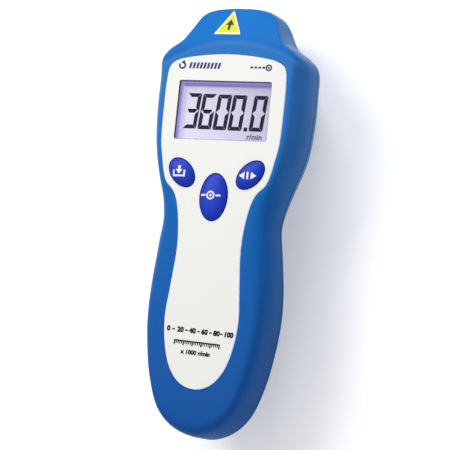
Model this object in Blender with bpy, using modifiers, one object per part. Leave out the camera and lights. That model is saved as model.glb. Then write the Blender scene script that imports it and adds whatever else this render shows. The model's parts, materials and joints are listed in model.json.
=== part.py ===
"""Handheld laser tachometer, modelled lying on its back.

Metres. +Z points out of the face, +Y to the nose and +X to the reader's right. The origin is under the
middle of the housing, on the surface that the instrument lies on.
"""

import math

import bmesh
import bpy
from mathutils import Matrix, Vector

MM = 0.001

# Housing
WAIST_WIDTH = 44.6 * MM
GRIP_WIDTH = 48.4 * MM
NOSE_WIDTH = 29.0 * MM
NOSE_LENGTH = 21.7 * MM
SHOULDER_ABOVE_DISPLAY = 8.25 * MM
HEAD_BELOW_DISPLAY = 3.25 * MM
NECK_LENGTH = 27.0 * MM
GRIP_BELOW_WAIST = 36.0 * MM
END_BEYOND_BATTERY = 21.5 * MM
HOUSING_HEIGHT = 40.2 * MM
WALL = 2.4 * MM
SPLIT_GAP = 0.3 * MM
SKIRT = 0.8 * MM
FACE_BORDER = 5.2 * MM
NOSE_FALL = 7.0 * MM
RIDGE_FROM_PANEL = 3.0 * MM
RIDGE_EASE = 4.5 * MM
ROW_BOW_RADIUS = 110.0 * MM
REAR_HEAD_FULLNESS = 1.3
REAR_GRIP_FULLNESS = 1.14
WAIST_FULLNESS = 3.2
END_FULLNESS = 5.0
HEAD_FULLNESS = 2.1
NOSE_FULLNESS = 3.0
GRIP_SPLIT_DROP = 17.7 * MM
WAIST_SPLIT_DROP = 13.7 * MM
HEAD_SPLIT_DROP = 16.3 * MM
END_RISE = 6.0 * MM
WAIST_RISE = 3.6 * MM
NOSE_RISE = 9.0 * MM
APERTURE_DEPTH = 8.0 * MM

# Clearances
SEAT = 0.3 * MM
SLIDE_GAP = 0.3 * MM
OVERSHOOT = 1.0 * MM
CUT_CLEAR = 5.0 * MM

# Face panel
PANEL_THICKNESS = 1.2 * MM
PANEL_PROUD = 0.5 * MM
PANEL_BORDER = 6.2 * MM
PANEL_STEM_WIDTH = 25.2 * MM
PANEL_GRIP_WIDTH = 29.2 * MM
PANEL_TOP = 10.15 * MM
PANEL_FOOT_MARGIN = 17.2 * MM
PANEL_BEZEL = 5.3 * MM
PANEL_EDGE = 0.4 * MM

# Display
DISPLAY_WIDTH = 37.4 * MM
DISPLAY_HEIGHT = 22.5 * MM
DISPLAY_CORNER = 0.8 * MM
WINDOW_LAP = 1.2 * MM
WINDOW_THICKNESS = 1.0 * MM
GASKET_THICKNESS = 0.7 * MM
GASKET_RIM = 1.6 * MM
LCD_THICKNESS = 2.0 * MM
BACKLIGHT_THICKNESS = 2.0 * MM
BACKLIGHT_SIDE_ROOM = 2.1 * MM
ZEBRA_WIDTH = 1.8 * MM
HOLDER_RIM = 1.8 * MM
BACKLIGHT_LED_LENGTH = 6.0 * MM
BACKLIGHT_LED_WIDTH = 1.5 * MM

# Buttons
BUTTON_PROUD = 1.3 * MM
DOME_FULLNESS = 0.8
DOME_DEGREES = (0, 25, 50, 70, 82)
BUTTON_TRAVEL = 0.8 * MM
BUTTON_CLEARANCE = 0.35 * MM
BUTTON_FLANGE = 1.0 * MM
BUTTON_FLANGE_RIM = 0.8 * MM
BUTTON_STEM_RADIUS = 2.0 * MM
CENTRE_BUTTON_SIZE = (10.8 * MM, 17.6 * MM)
CENTRE_BUTTON_DROP = 21.45 * MM
SIDE_BUTTON_SIZE = (8.2 * MM, 12.6 * MM)
SIDE_BUTTON_DROP = 12.65 * MM
SIDE_BUTTON_SPREAD = 13.8 * MM
SIDE_BUTTON_BORDER = 10.2 * MM
SIDE_BUTTON_LEAN = math.radians(45.0)
SWITCH_SIZE = 6.0 * MM
SWITCH_HEIGHT = 3.5 * MM
PLUNGER_RADIUS = 1.7 * MM
PLUNGER_PROUD = 1.0 * MM
PLUNGER_DEPTH = 1.6 * MM
PLUNGER_CLEARANCE = 0.2 * MM

# Boards and what they carry
BOARD_THICKNESS = 1.6 * MM
BOARD_MARGIN = 5.2 * MM
BOARD_BELOW_DISPLAY = 25.75 * MM
BOARD_ABOVE_DISPLAY = 3.45 * MM
CHIP_SIZE = 10.0 * MM
CHIP_THICKNESS = 1.6 * MM
CHIP_BELOW_DISPLAY = 5.0 * MM
CRYSTAL_SIZE = (11.0 * MM, 4.6 * MM, 3.5 * MM)
CRYSTAL_PLACE = (11.0 * MM, 17.0 * MM)
CRYSTAL_EDGE = 1.0 * MM
CAPACITOR_RADIUS = 3.2 * MM
CAPACITOR_LENGTH = 8.0 * MM
CAPACITOR_PLACE = (-12.0 * MM, 16.0 * MM)
BOARD_OUTLINE_STEPS = 10

# Screws and the posts that take them
BOARD_POST_RADIUS = 2.2 * MM
UPPER_POSTS = (7.8 * MM, 6.15 * MM)
LOWER_POSTS = (9.3 * MM, 22.75 * MM)
BOARD_SCREW_RADIUS = 0.8 * MM
BOARD_SCREW_DEPTH = 4.0 * MM
BOARD_SCREW_HEAD = (1.7 * MM, 1.3 * MM)
CASE_POST_RADIUS = 3.0 * MM
CASE_BOSS_RADIUS = 3.4 * MM
CASE_BOSS_TOP = 20.0 * MM
CASE_SCREW_RADIUS = 1.1 * MM
CASE_SCREW_REACH = 9.0 * MM
CASE_SCREW_HEAD = (2.3 * MM, 1.8 * MM)
CASE_SCREW_SEAT = 4.0 * MM
SCREW_CLEARANCE = 0.25 * MM
HEAD_SCREWS = (12.0 * MM, 1.0 * MM)
WAIST_SCREWS = (8.0 * MM, 1.0 * MM)

# Optics
OPTICS_LIFT = 0.4 * MM
NOSE_WINDOW_SIZE = (18.0 * MM, 10.0 * MM)
NOSE_WINDOW_CORNER = 3.0 * MM
NOSE_WINDOW_THICKNESS = 1.6 * MM
NOSE_WINDOW_RECESS = 1.0 * MM
OPTICS_HOLDER_SIZE = (18.0 * MM, 12.0 * MM, 13.0 * MM)
OPTICS_FROM_WINDOW = 1.6 * MM
LASER_OFFSET = 4.5 * MM
LASER_RADIUS = 3.0 * MM
LASER_LENGTH = 8.9 * MM
LASER_LENS_RADIUS = 2.6 * MM
LASER_LENS_THICKNESS = 1.4 * MM
RECEIVER_OFFSET = 4.3 * MM
RECEIVER_RADIUS = 3.8 * MM
RECEIVER_LENS_THICKNESS = 2.8 * MM
RECEIVER_LENS_CROWN = 1.8 * MM
LENS_STEPS = 4
RETAINER_THICKNESS = 1.0 * MM
RETAINER_RIM = 0.8 * MM
DIODE_RADIUS = 2.5 * MM
DIODE_LENGTH = 5.8 * MM
SENSOR_BOARD_THICKNESS = 1.3 * MM
SENSOR_BOARD_WIDTH = 16.0 * MM
RIBBON_WIDTH = 7.0 * MM
RIBBON_THICKNESS = 0.3 * MM
RIB_THICKNESS = 1.6 * MM
RIB_WIDTH = 16.0 * MM
CRADLE_INSETS = (3.0 * MM, 2.0 * MM)

# Battery and its compartment
BATTERY_SIZE = (26.5 * MM, 48.5 * MM, 17.5 * MM)
BATTERY_BELOW_WAIST = 10.0 * MM
BATTERY_BOTTOM = 9.5 * MM
BATTERY_EDGE = 1.6 * MM
SNAP_THICKNESS = 4.6 * MM
SNAP_SIZE = (24.0 * MM, 13.0 * MM)
SNAP_EDGE = 1.0 * MM
BATTERY_RIB_INSET = 10.0 * MM
PAD_RIB_INSET = 12.0 * MM
PAD_THICKNESS = 2.9 * MM
PAD_INSET = 5.0 * MM
LEAD_RADIUS = 0.7 * MM
LEAD_OFFSET = 3.5 * MM
DOOR_WIDTH = 28.4 * MM
DOOR_HEIGHT = 9.0 * MM
DOOR_BELOW_WAIST = 8.5 * MM
DOOR_TONGUE = (8.0 * MM, 4.5 * MM, 1.5 * MM)
DOOR_RIB_COUNT = 5
DOOR_RIB_PITCH = 2.6 * MM
DOOR_RIB_WIDTH = 1.2 * MM
DOOR_RIB_START = 4.0 * MM
TONGUE_ROOT = 4.0 * MM

# How finely round shapes are divided
ROWS_PER_SPAN = 2
OUTER_LEVELS = 6
INNER_LEVELS = 3
FACE_COLUMNS = 3
OVAL_SEGMENTS = 28
HOLE_SEGMENTS = 12
OPTIC_SEGMENTS = 20
PANEL_STEPS = 3

# Places worked out from the sizes above
PANEL_HALF = max(DISPLAY_WIDTH / 2 + PANEL_BEZEL, SIDE_BUTTON_SPREAD + SIDE_BUTTON_BORDER)
HEAD_WIDTH = 2 * (PANEL_HALF + PANEL_BORDER)
HEAD_LENGTH = SHOULDER_ABOVE_DISPLAY + DISPLAY_HEIGHT + HEAD_BELOW_DISPLAY
HANDLE_LENGTH = NECK_LENGTH + BATTERY_BELOW_WAIST + BATTERY_SIZE[1] + END_BEYOND_BATTERY
HOUSING_LENGTH = NOSE_LENGTH + HEAD_LENGTH + HANDLE_LENGTH
TIP_Y = HOUSING_LENGTH / 2
END_Y = -HOUSING_LENGTH / 2
SHOULDER_Y = TIP_Y - NOSE_LENGTH
DISPLAY_TOP_Y = SHOULDER_Y - SHOULDER_ABOVE_DISPLAY
DISPLAY_LOW_Y = DISPLAY_TOP_Y - DISPLAY_HEIGHT
DISPLAY_Y = (DISPLAY_TOP_Y + DISPLAY_LOW_Y) / 2
HEAD_Y = DISPLAY_LOW_Y - HEAD_BELOW_DISPLAY
WAIST_Y = HEAD_Y - NECK_LENGTH
GRIP_Y = WAIST_Y - GRIP_BELOW_WAIST
FACE_Z = HOUSING_HEIGHT
PANEL_TOP_Z = FACE_Z + PANEL_PROUD
PANEL_LOW_Z = PANEL_TOP_Z - PANEL_THICKNESS
RECESS_Z = PANEL_LOW_Z - SEAT
INNER_FACE_Z = FACE_Z - WALL
RIDGE_Y = DISPLAY_TOP_Y + PANEL_TOP + RIDGE_FROM_PANEL
WINDOW_TOP_Z = PANEL_LOW_Z - SEAT
WINDOW_LOW_Z = WINDOW_TOP_Z - WINDOW_THICKNESS
GASKET_TOP_Z = WINDOW_LOW_Z - SEAT
GASKET_LOW_Z = GASKET_TOP_Z - GASKET_THICKNESS
LCD_TOP_Z = GASKET_LOW_Z - SEAT
LCD_LOW_Z = LCD_TOP_Z - LCD_THICKNESS
FLANGE_TOP_Z = INNER_FACE_Z - SEAT
FLANGE_LOW_Z = FLANGE_TOP_Z - BUTTON_FLANGE
STEM_LOW_Z = FLANGE_LOW_Z - SEAT
PLUNGER_TOP_Z = STEM_LOW_Z - SEAT
SWITCH_TOP_Z = PLUNGER_TOP_Z - PLUNGER_PROUD
SWITCH_LOW_Z = SWITCH_TOP_Z - SWITCH_HEIGHT
BOARD_TOP_Z = SWITCH_LOW_Z - SEAT
BOARD_LOW_Z = BOARD_TOP_Z - BOARD_THICKNESS
WINDOW_SIZE = (DISPLAY_WIDTH + 2 * WINDOW_LAP, DISPLAY_HEIGHT + 2 * WINDOW_LAP)
DISPLAY_HOLE = (WINDOW_SIZE[0] + 2 * SEAT, WINDOW_SIZE[1] + 2 * SEAT)
OPTICS_HEIGHT = (FACE_Z - NOSE_FALL + NOSE_RISE) / 2 + OPTICS_LIFT
BATTERY_NEAR_Y = WAIST_Y - BATTERY_BELOW_WAIST
BATTERY_FAR_Y = BATTERY_NEAR_Y - BATTERY_SIZE[1]
DOOR_Y = WAIST_Y - DOOR_BELOW_WAIST
WINDOW_FRONT_Y = TIP_Y - NOSE_WINDOW_RECESS
WINDOW_BACK_Y = WINDOW_FRONT_Y - NOSE_WINDOW_THICKNESS
OPTICS_FRONT_Y = WINDOW_BACK_Y - OPTICS_FROM_WINDOW
OPTICS_BACK_Y = OPTICS_FRONT_Y - OPTICS_HOLDER_SIZE[1]
SENSOR_FRONT_Y = OPTICS_BACK_Y - SEAT
SENSOR_BACK_Y = SENSOR_FRONT_Y - SENSOR_BOARD_THICKNESS
CASE_SCREW_PLACES = [
    (side * across, above - below)
    for above, (across, below) in ((SHOULDER_Y, HEAD_SCREWS), (WAIST_Y, WAIST_SCREWS))
    for side in (-1, 1)
]
BOARD_SCREW_PLACES = [
    (side * (width / 2 - inset), DISPLAY_LOW_Y - below)
    for width, (inset, below) in ((HEAD_WIDTH, UPPER_POSTS), (WAIST_WIDTH, LOWER_POSTS))
    for side in (-1, 1)
]
BUTTONS = {
    "left": (SIDE_BUTTON_SIZE, (-SIDE_BUTTON_SPREAD, DISPLAY_LOW_Y - SIDE_BUTTON_DROP), SIDE_BUTTON_LEAN),
    "centre": (CENTRE_BUTTON_SIZE, (0.0, DISPLAY_LOW_Y - CENTRE_BUTTON_DROP), 0.0),
    "right": (SIDE_BUTTON_SIZE, (SIDE_BUTTON_SPREAD, DISPLAY_LOW_Y - SIDE_BUTTON_DROP), -SIDE_BUTTON_LEAN),
}


def stations():
    """The lines at the parting line, with how far the face edge and the back edge lie inside them."""
    nose = NOSE_WIDTH / 2
    head = HEAD_WIDTH / 2
    waist = WAIST_WIDTH / 2
    grip = GRIP_WIDTH / 2
    border = FACE_BORDER
    lines = (
        (0, TIP_Y, 0, 1.4, 0, 3.0),
        (nose - 3.4 * MM, TIP_Y - 1.2 * MM, 0.3, 1.3, 2.0, 3.1),
        (nose + 0.1 * MM, TIP_Y - 3.4 * MM, 0.4, 1.2, 2.9, 3.6),
        (nose + 3.5 * MM, SHOULDER_Y + 11.8 * MM, 0.7, 0.4, 4.4, 3.2),
        (head - 9.2 * MM, SHOULDER_Y + 7.6 * MM, 1.8, 0.5, 6.5, 3.2),
        (head - 4.2 * MM, SHOULDER_Y + 4.1 * MM, 2.6, 1.0, 10.0, 4.0),
        (head - 0.8 * MM, SHOULDER_Y + 0.4 * MM, border / MM - 0.8, 1.0, 12.2, 3.5),
        (head, SHOULDER_Y - 9.0 * MM, border / MM, 0, 13.0, 1.0),
        (head - 0.2 * MM, HEAD_Y + 11.0 * MM, border / MM - 0.1, 0, 13.0, 0),
        (head - 1.6 * MM, HEAD_Y, border / MM - 0.6, 0, 12.6, 0),
        (waist + 2.9 * MM, WAIST_Y + 15.5 * MM, 3.9, 0, 11.7, 0),
        (waist + 0.9 * MM, WAIST_Y + 7.0 * MM, 7.0, -1.0, 11.2, 0),
        (waist, WAIST_Y, 8.0, 0, 11.3, 0),
        (waist + 1.0 * MM, WAIST_Y - 9.0 * MM, 9.3, 0, 11.7, 0),
        (grip + 0.2 * MM, GRIP_Y + 12.0 * MM, 8.3, 0, 12.2, 0),
        (grip, GRIP_Y, 6.9, 0, 11.8, 0),
        (grip - 1.2 * MM, GRIP_Y - 10.0 * MM, 6.4, 0, 10.8, 0),
        (grip - 3.9 * MM, END_Y + 21.0 * MM, 6.0, -0.5, 10.3, -1.0),
        (grip - 8.9 * MM, END_Y + 8.6 * MM, 4.2, -4.6, 8.5, -5.5),
        (grip - 15.6 * MM, END_Y + 2.4 * MM, 1.8, -7.6, 4.6, -8.4),
        (0, END_Y, 0, -9.0, 0, -9.4),
    )
    split = [Vector((x, y)) for x, y, *_ in lines]
    face = [Vector((x - dx * MM, y - dy * MM)) for x, y, dx, dy, _, _ in lines]
    back = [Vector((x - dx * MM, y - dy * MM)) for x, y, _, _, dx, dy in lines]
    return split, face, back


def along(y, knots):
    """A value that eases from knot to knot along the housing; each knot is a place and its value."""
    knots = sorted(knots)
    if y <= knots[0][0]:
        return knots[0][1]
    for (y0, v0), (y1, v1) in zip(knots, knots[1:]):
        if y <= y1:
            t = (y - y0) / (y1 - y0)
            return v0 + (v1 - v0) * t * t * (3 - 2 * t)
    return knots[-1][1]


def split_z(y):
    drops = ((GRIP_Y, GRIP_SPLIT_DROP), (WAIST_Y, WAIST_SPLIT_DROP), (HEAD_Y, HEAD_SPLIT_DROP))
    return FACE_Z - along(y, drops)


def shoulder_fullness(y):
    knots = (
        (END_Y + 10 * MM, END_FULLNESS),
        (WAIST_Y - 10 * MM, WAIST_FULLNESS),
        (HEAD_Y + 4 * MM, HEAD_FULLNESS),
        (SHOULDER_Y - 6 * MM, HEAD_FULLNESS),
        (SHOULDER_Y + 4 * MM, NOSE_FULLNESS),
    )
    return along(y, knots)


def rear_fullness(y):
    return along(y, ((WAIST_Y, REAR_GRIP_FULLNESS), (HEAD_Y + 8 * MM, REAR_HEAD_FULLNESS)))


def back_z(y):
    rises = (
        (END_Y, END_RISE),
        (END_Y + 18 * MM, 0.0),
        (WAIST_Y - 22 * MM, 0.0),
        (WAIST_Y, WAIST_RISE),
        (WAIST_Y + 22 * MM, 0.0),
        (SHOULDER_Y - 3 * MM, 0.0),
        (TIP_Y, NOSE_RISE),
    )
    return along(y, rises)


def face_z(y):
    """The face is flat as far as the ridge, and the nose falls away past it."""
    past = max(0.0, y - RIDGE_Y)
    eased = past * past / (2 * RIDGE_EASE) if past < RIDGE_EASE else past - RIDGE_EASE / 2
    full = TIP_Y - RIDGE_Y - RIDGE_EASE / 2
    return FACE_Z - NOSE_FALL * eased / full


def smooth(chain, steps):
    """A smooth curve through a chain of points, from its second to its last but one."""
    curve = []
    for a, b, c, d in zip(chain, chain[1:], chain[2:], chain[3:]):
        ta = 0.0
        tb = ta + math.sqrt((b - a).length)
        tc = tb + math.sqrt((c - b).length)
        td = tc + math.sqrt((d - c).length)
        for k in range(steps):
            t = tb + (tc - tb) * k / steps
            ab = a.lerp(b, (t - ta) / (tb - ta))
            bc = b.lerp(c, (t - tb) / (tc - tb))
            cd = c.lerp(d, (t - tc) / (td - tc))
            abc = ab.lerp(bc, (t - ta) / (tc - ta))
            bcd = bc.lerp(cd, (t - tb) / (td - tb))
            curve.append(abc.lerp(bcd, (t - tb) / (tc - tb)))
    curve.append(chain[-2].copy())
    return curve


def smooth_half(points, steps):
    """A smooth half outline whose ends lie on the middle plane."""
    first = Vector((-points[1].x, points[1].y))
    last = Vector((-points[-2].x, points[-2].y))
    curve = smooth([first, *points, last], steps)
    curve[0].x = curve[-1].x = 0.0
    return curve


def smooth_route(points, steps):
    """A smooth route in space that runs straight on at both ends."""
    points = [Vector(p) for p in points]
    return smooth([2 * points[0] - points[1], *points, 2 * points[-1] - points[-2]], steps)


def half_width(y):
    """Half the housing's width at the parting line."""
    curve = smooth_half(stations()[0], ROWS_PER_SPAN)
    for p, q in zip(curve, curve[1:]):
        if q.y <= y <= p.y:
            return p.x + (q.x - p.x) * (p.y - y) / max(p.y - q.y, 1e-9)
    return 0.0


def bow(x, y):
    """How far a row's middle stands towards the nose, so that the rows follow the panel's arched top."""
    share = along(y, ((WAIST_Y, 0.0), (HEAD_Y, 1.0), (TIP_Y - 8 * MM, 1.0), (TIP_Y - 0.5 * MM, 0.0)))
    return share * x * x / (2 * ROW_BOW_RADIUS)


def inside(line, guide, distance):
    """The line moved inwards, square to the guide that it is matched with."""
    moved = []
    for k, here in enumerate(line):
        before = guide[k - 1] if k else Vector((-guide[1].x, guide[1].y))
        after = guide[k + 1] if k + 1 < len(guide) else Vector((-guide[-2].x, guide[-2].y))
        tangent = (after - before).normalized()
        moved.append(here + distance * Vector((tangent.y, -tangent.x)))
    moved[0].x = moved[-1].x = 0.0
    return moved


def shell_rows(edge, rim, places, section, depth, columns, levels):
    """Half of a shell's surface: a flat middle out to the edge, then a superellipse down to the rim.

    The section gives the flat's height, the rim's, the skirt's and the fullness at a place along Y.
    """
    edge_z, rim_z, skirt_z, fullness = section
    rows = []
    for e, r, y in zip(edge, rim, places):
        row_bow = bow(e.x, y)
        top = edge_z(e.y + row_bow) + depth
        low = skirt_z(y)
        n = fullness(y)
        row = []
        for c in range(columns):
            f = c / columns
            row.append(Vector((e.x * f, e.y + row_bow * (1 - f * f), top)))
        for k in range(levels + 1):
            t = math.pi / 2 * k / levels
            out = math.sin(t) ** (2 / n)
            up = math.cos(t) ** (2 / n) if k < levels else 0.0
            level = e.lerp(r, out)
            row.append(Vector((level.x, level.y, low + (top - low) * up)))
        row.append(Vector((r.x, r.y, rim_z(y))))
        rows.append(row)
    return rows


def housing_half(rear):
    """One half of a shell with its wall: an outer and an inner surface, joined along the flat rim."""
    split, face, back = (smooth_half(line, ROWS_PER_SPAN) for line in stations())
    places = [p.y for p in split]
    if rear:
        edge, depth = back, WALL
        section = (
            back_z,
            lambda y: split_z(y) - SPLIT_GAP,
            lambda y: split_z(y) - SPLIT_GAP - SKIRT,
            rear_fullness,
        )
    else:
        edge, depth = face, -WALL
        section = (face_z, split_z, lambda y: split_z(y) + SKIRT, shoulder_fullness)
    inner_edge = inside(edge, split, WALL / 2)
    inner_rim = inside(split, split, WALL)
    outer = shell_rows(edge, split, places, section, 0.0, FACE_COLUMNS, OUTER_LEVELS)
    inner = shell_rows(inner_edge, inner_rim, places, section, depth, 1, INNER_LEVELS)
    bm = bmesh.new()
    sheets = [[bm.verts.new(p) for p in over + under[::-1]] for over, under in zip(outer, inner)]
    for row, following in zip(sheets, sheets[1:]):
        for a, b, c, d in zip(row, row[1:], following[1:], following):
            bm.faces.new((a, b, c, d) if rear else (a, d, c, b))
    bmesh.ops.remove_doubles(bm, verts=bm.verts, dist=1e-6)
    return bm


def material(name, colour, roughness, metallic=0.0, alpha=1.0):
    made = bpy.data.materials.new(name)
    made.use_nodes = True
    shader = made.node_tree.nodes["Principled BSDF"]
    shader.inputs["Base Color"].default_value = (*colour, 1.0)
    shader.inputs["Roughness"].default_value = roughness
    shader.inputs["Metallic"].default_value = metallic
    shader.inputs["Alpha"].default_value = alpha
    return made


class Workshop:
    """The two collections, and the tools that fill them."""

    def __init__(self, title):
        for old in list(bpy.data.objects):
            bpy.data.objects.remove(old)
        self.parts = bpy.data.collections.new(title)
        self.cutters = bpy.data.collections.new("cutters")
        for collection in (self.parts, self.cutters):
            bpy.context.scene.collection.children.link(collection)

    def add(self, name, mesh, finish=None):
        """An object among the parts, or among the cutters where it has no finish."""
        made = bpy.data.objects.new(name, mesh)
        if finish:
            mesh.materials.clear()
            mesh.materials.append(finish)
            self.parts.objects.link(made)
        else:
            self.cutters.objects.link(made)
            made.hide_render = True
            made.display_type = "WIRE"
        return made

    def from_bmesh(self, name, bm, finish=None, smooth=True):
        mesh = bpy.data.meshes.new(name)
        bm.to_mesh(mesh)
        bm.free()
        if smooth:
            mesh.shade_smooth()
            mesh.set_sharp_from_angle(angle=math.radians(35))
        return self.add(name, mesh, finish)

    def box(self, name, low, high, finish=None, edge=0.0):
        low = Vector(low)
        high = Vector(high)
        bm = bmesh.new()
        bmesh.ops.create_cube(bm, size=1.0)
        bmesh.ops.scale(bm, vec=high - low, verts=bm.verts)
        bmesh.ops.translate(bm, vec=(low + high) / 2, verts=bm.verts)
        made = self.from_bmesh(name, bm, finish, smooth=False)
        if edge:
            self.bevel(made, edge, 2)
        return made

    def cylinder(self, name, radius, start, end, finish=None, segments=HOLE_SEGMENTS):
        start = Vector(start)
        axis = Vector(end) - start
        bm = bmesh.new()
        bmesh.ops.create_cone(
            bm, cap_ends=True, segments=segments, radius1=radius, radius2=radius, depth=axis.length
        )
        turn = axis.to_track_quat("Z", "Y").to_matrix().to_4x4()
        bmesh.ops.transform(bm, matrix=Matrix.Translation(start + axis / 2) @ turn, verts=bm.verts)
        return self.from_bmesh(name, bm, finish)

    def plate(self, name, outline, low, high, finish=None):
        """A flat closed outline, given a thickness from low to high."""
        curve = bpy.data.curves.new(name, "CURVE")
        curve.dimensions = "2D"
        curve.fill_mode = "BOTH"
        curve.extrude = (high - low) / 2
        spline = curve.splines.new("POLY")
        spline.points.add(len(outline) - 1)
        for point, place in zip(spline.points, outline):
            point.co = (place.x, place.y, 0.0, 1.0)
        spline.use_cyclic_u = True
        guide = bpy.data.objects.new(name + "_outline", curve)
        guide.location.z = (low + high) / 2
        return self.solid_of(guide, name, finish)

    def tube(self, name, places, radius, finish):
        curve = bpy.data.curves.new(name, "CURVE")
        curve.dimensions = "3D"
        curve.bevel_depth = radius
        curve.bevel_resolution = 2
        curve.use_fill_caps = True
        spline = curve.splines.new("POLY")
        spline.points.add(len(places) - 1)
        for point, place in zip(spline.points, places):
            point.co = (*place, 1.0)
        return self.solid_of(bpy.data.objects.new(name + "_path", curve), name, finish)

    def solid_of(self, guide, name, finish):
        """The closed mesh of a curve object, with its caps welded to its sides."""
        self.cutters.objects.link(guide)
        bpy.context.view_layer.update()
        evaluated = guide.evaluated_get(bpy.context.evaluated_depsgraph_get())
        mesh = bpy.data.meshes.new_from_object(evaluated)
        mesh.transform(guide.matrix_world)
        bpy.data.objects.remove(guide)
        bm = bmesh.new()
        bm.from_mesh(mesh)
        bmesh.ops.remove_doubles(bm, verts=bm.verts, dist=1e-6)
        bmesh.ops.recalc_face_normals(bm, faces=bm.faces)
        bpy.data.meshes.remove(mesh)
        return self.from_bmesh(name, bm, finish)

    def turned(self, name, profile, finish=None, segments=HOLE_SEGMENTS):
        """A profile in (radius, height), from its top to its bottom, turned about +Z."""
        bm = bmesh.new()
        chain = [bm.verts.new((radius, 0.0, height)) for radius, height in profile]
        for a, b in zip(chain, chain[1:]):
            bm.edges.new((a, b))
        made = self.from_bmesh(name, bm, finish, smooth=False)
        turn = made.modifiers.new("turn", "SCREW")
        turn.steps = turn.render_steps = segments
        turn.use_merge_vertices = True
        turn.merge_threshold = 1e-5
        turn.use_smooth_shade = False
        return made

    def bevel(self, made, width, segments):
        rounding = made.modifiers.new("rounding", "BEVEL")
        rounding.width = width
        rounding.segments = segments
        rounding.limit_method = "ANGLE"
        rounding.angle_limit = math.radians(50)

    def combine(self, made, operation, *others):
        for other in others:
            step = made.modifiers.new(operation.lower(), "BOOLEAN")
            step.operation = operation
            step.object = other
            step.solver = "EXACT"

    def cut(self, made, *others):
        self.combine(made, "DIFFERENCE", *others)

    def join(self, made, *others):
        self.combine(made, "UNION", *others)


def rounded_rectangle(width, height, radius, centre=(0.0, 0.0), steps=3):
    """The corners' arcs, counter-clockwise."""
    outline = []
    for quarter in range(4):
        corner = math.radians(45 + 90 * quarter)
        middle = Vector((
            centre[0] + math.copysign(width / 2 - radius, math.cos(corner)),
            centre[1] + math.copysign(height / 2 - radius, math.sin(corner)),
        ))
        for k in range(steps + 1):
            turn = math.pi / 2 * (quarter + k / steps)
            outline.append(middle + radius * Vector((math.cos(turn), math.sin(turn))))
    return outline


def oval(size, centre, lean, grow=0.0):
    """An ellipse of the given width and length, its top leaning out by the angle."""
    outline = []
    for k in range(OVAL_SEGMENTS):
        turn = 2 * math.pi * k / OVAL_SEGMENTS
        x = (size[0] / 2 + grow) * math.cos(turn)
        y = (size[1] / 2 + grow) * math.sin(turn)
        outline.append(Vector((
            centre[0] + x * math.cos(lean) - y * math.sin(lean),
            centre[1] + x * math.sin(lean) + y * math.cos(lean),
        )))
    return outline


def panel_outline(grow=0.0):
    """The white inlay: an arched head, a bulge round each small button, a narrow stem and a round foot."""
    head = PANEL_HALF
    stem = PANEL_STEM_WIDTH / 2
    grip = PANEL_GRIP_WIDTH / 2
    top = DISPLAY_TOP_Y + PANEL_TOP
    foot = END_Y + PANEL_FOOT_MARGIN
    side = DISPLAY_LOW_Y - SIDE_BUTTON_DROP
    points = (
        (0, top),
        (head - 10.0 * MM, top - 1.1 * MM),
        (head - 3.2 * MM, top - 2.8 * MM),
        (head - 1.0 * MM, top - 4.8 * MM),
        (head - 0.2 * MM, top - 8.6 * MM),
        (head, DISPLAY_Y),
        (head - 0.4 * MM, DISPLAY_Y - 12.5 * MM),
        (head - 1.5 * MM, side + 5.6 * MM),
        (head - 2.7 * MM, side),
        (head - 4.3 * MM, side - 3.8 * MM),
        (head - 6.9 * MM, side - 6.4 * MM),
        (stem + 2.8 * MM, side - 9.2 * MM),
        (stem + 1.1 * MM, side - 15.6 * MM),
        (stem, side - 27.6 * MM),
        (grip - 0.8 * MM, foot + 36.5 * MM),
        (grip, foot + 26.0 * MM),
        (grip - 1.3 * MM, foot + 15.2 * MM),
        (grip - 4.2 * MM, foot + 7.0 * MM),
        (grip - 8.8 * MM, foot + 1.8 * MM),
        (0, foot),
    )
    half = smooth_half([Vector(p) for p in points], PANEL_STEPS)
    mirrored = [Vector((-p.x, p.y)) for p in reversed(half[1:-1])]
    outline = half + mirrored
    if not grow:
        return outline
    grown = []
    for before, here, after in zip(outline[-1:] + outline, outline, outline[1:] + outline[:1]):
        tangent = (after - before).normalized()
        grown.append(here + grow * Vector((-tangent.y, tangent.x)))
    return grown


def housing_shell(shop, name, finish, rear):
    made = shop.from_bmesh(name, housing_half(rear), finish)
    mirror = made.modifiers.new("other half", "MIRROR")
    mirror.use_clip = True
    mirror.merge_threshold = 1e-5
    return made


def through_nose(shop, name, grow, near_y, far_y, finish=None):
    """A rounded rectangle that runs along Y at the optics' height."""
    width, height = (size + 2 * grow for size in NOSE_WINDOW_SIZE)
    outline = rounded_rectangle(width, height, NOSE_WINDOW_CORNER + grow, (0.0, OPTICS_HEIGHT))
    made = shop.plate(name, outline, -near_y, -far_y, finish)
    made.data.transform(Matrix.Rotation(math.radians(90), 4, "X"))
    return made


def cross_rib(shop, name, y, low, high, width):
    return shop.box(name, (-width / 2, y - RIB_THICKNESS / 2, low), (width / 2, y + RIB_THICKNESS / 2, high))


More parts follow.
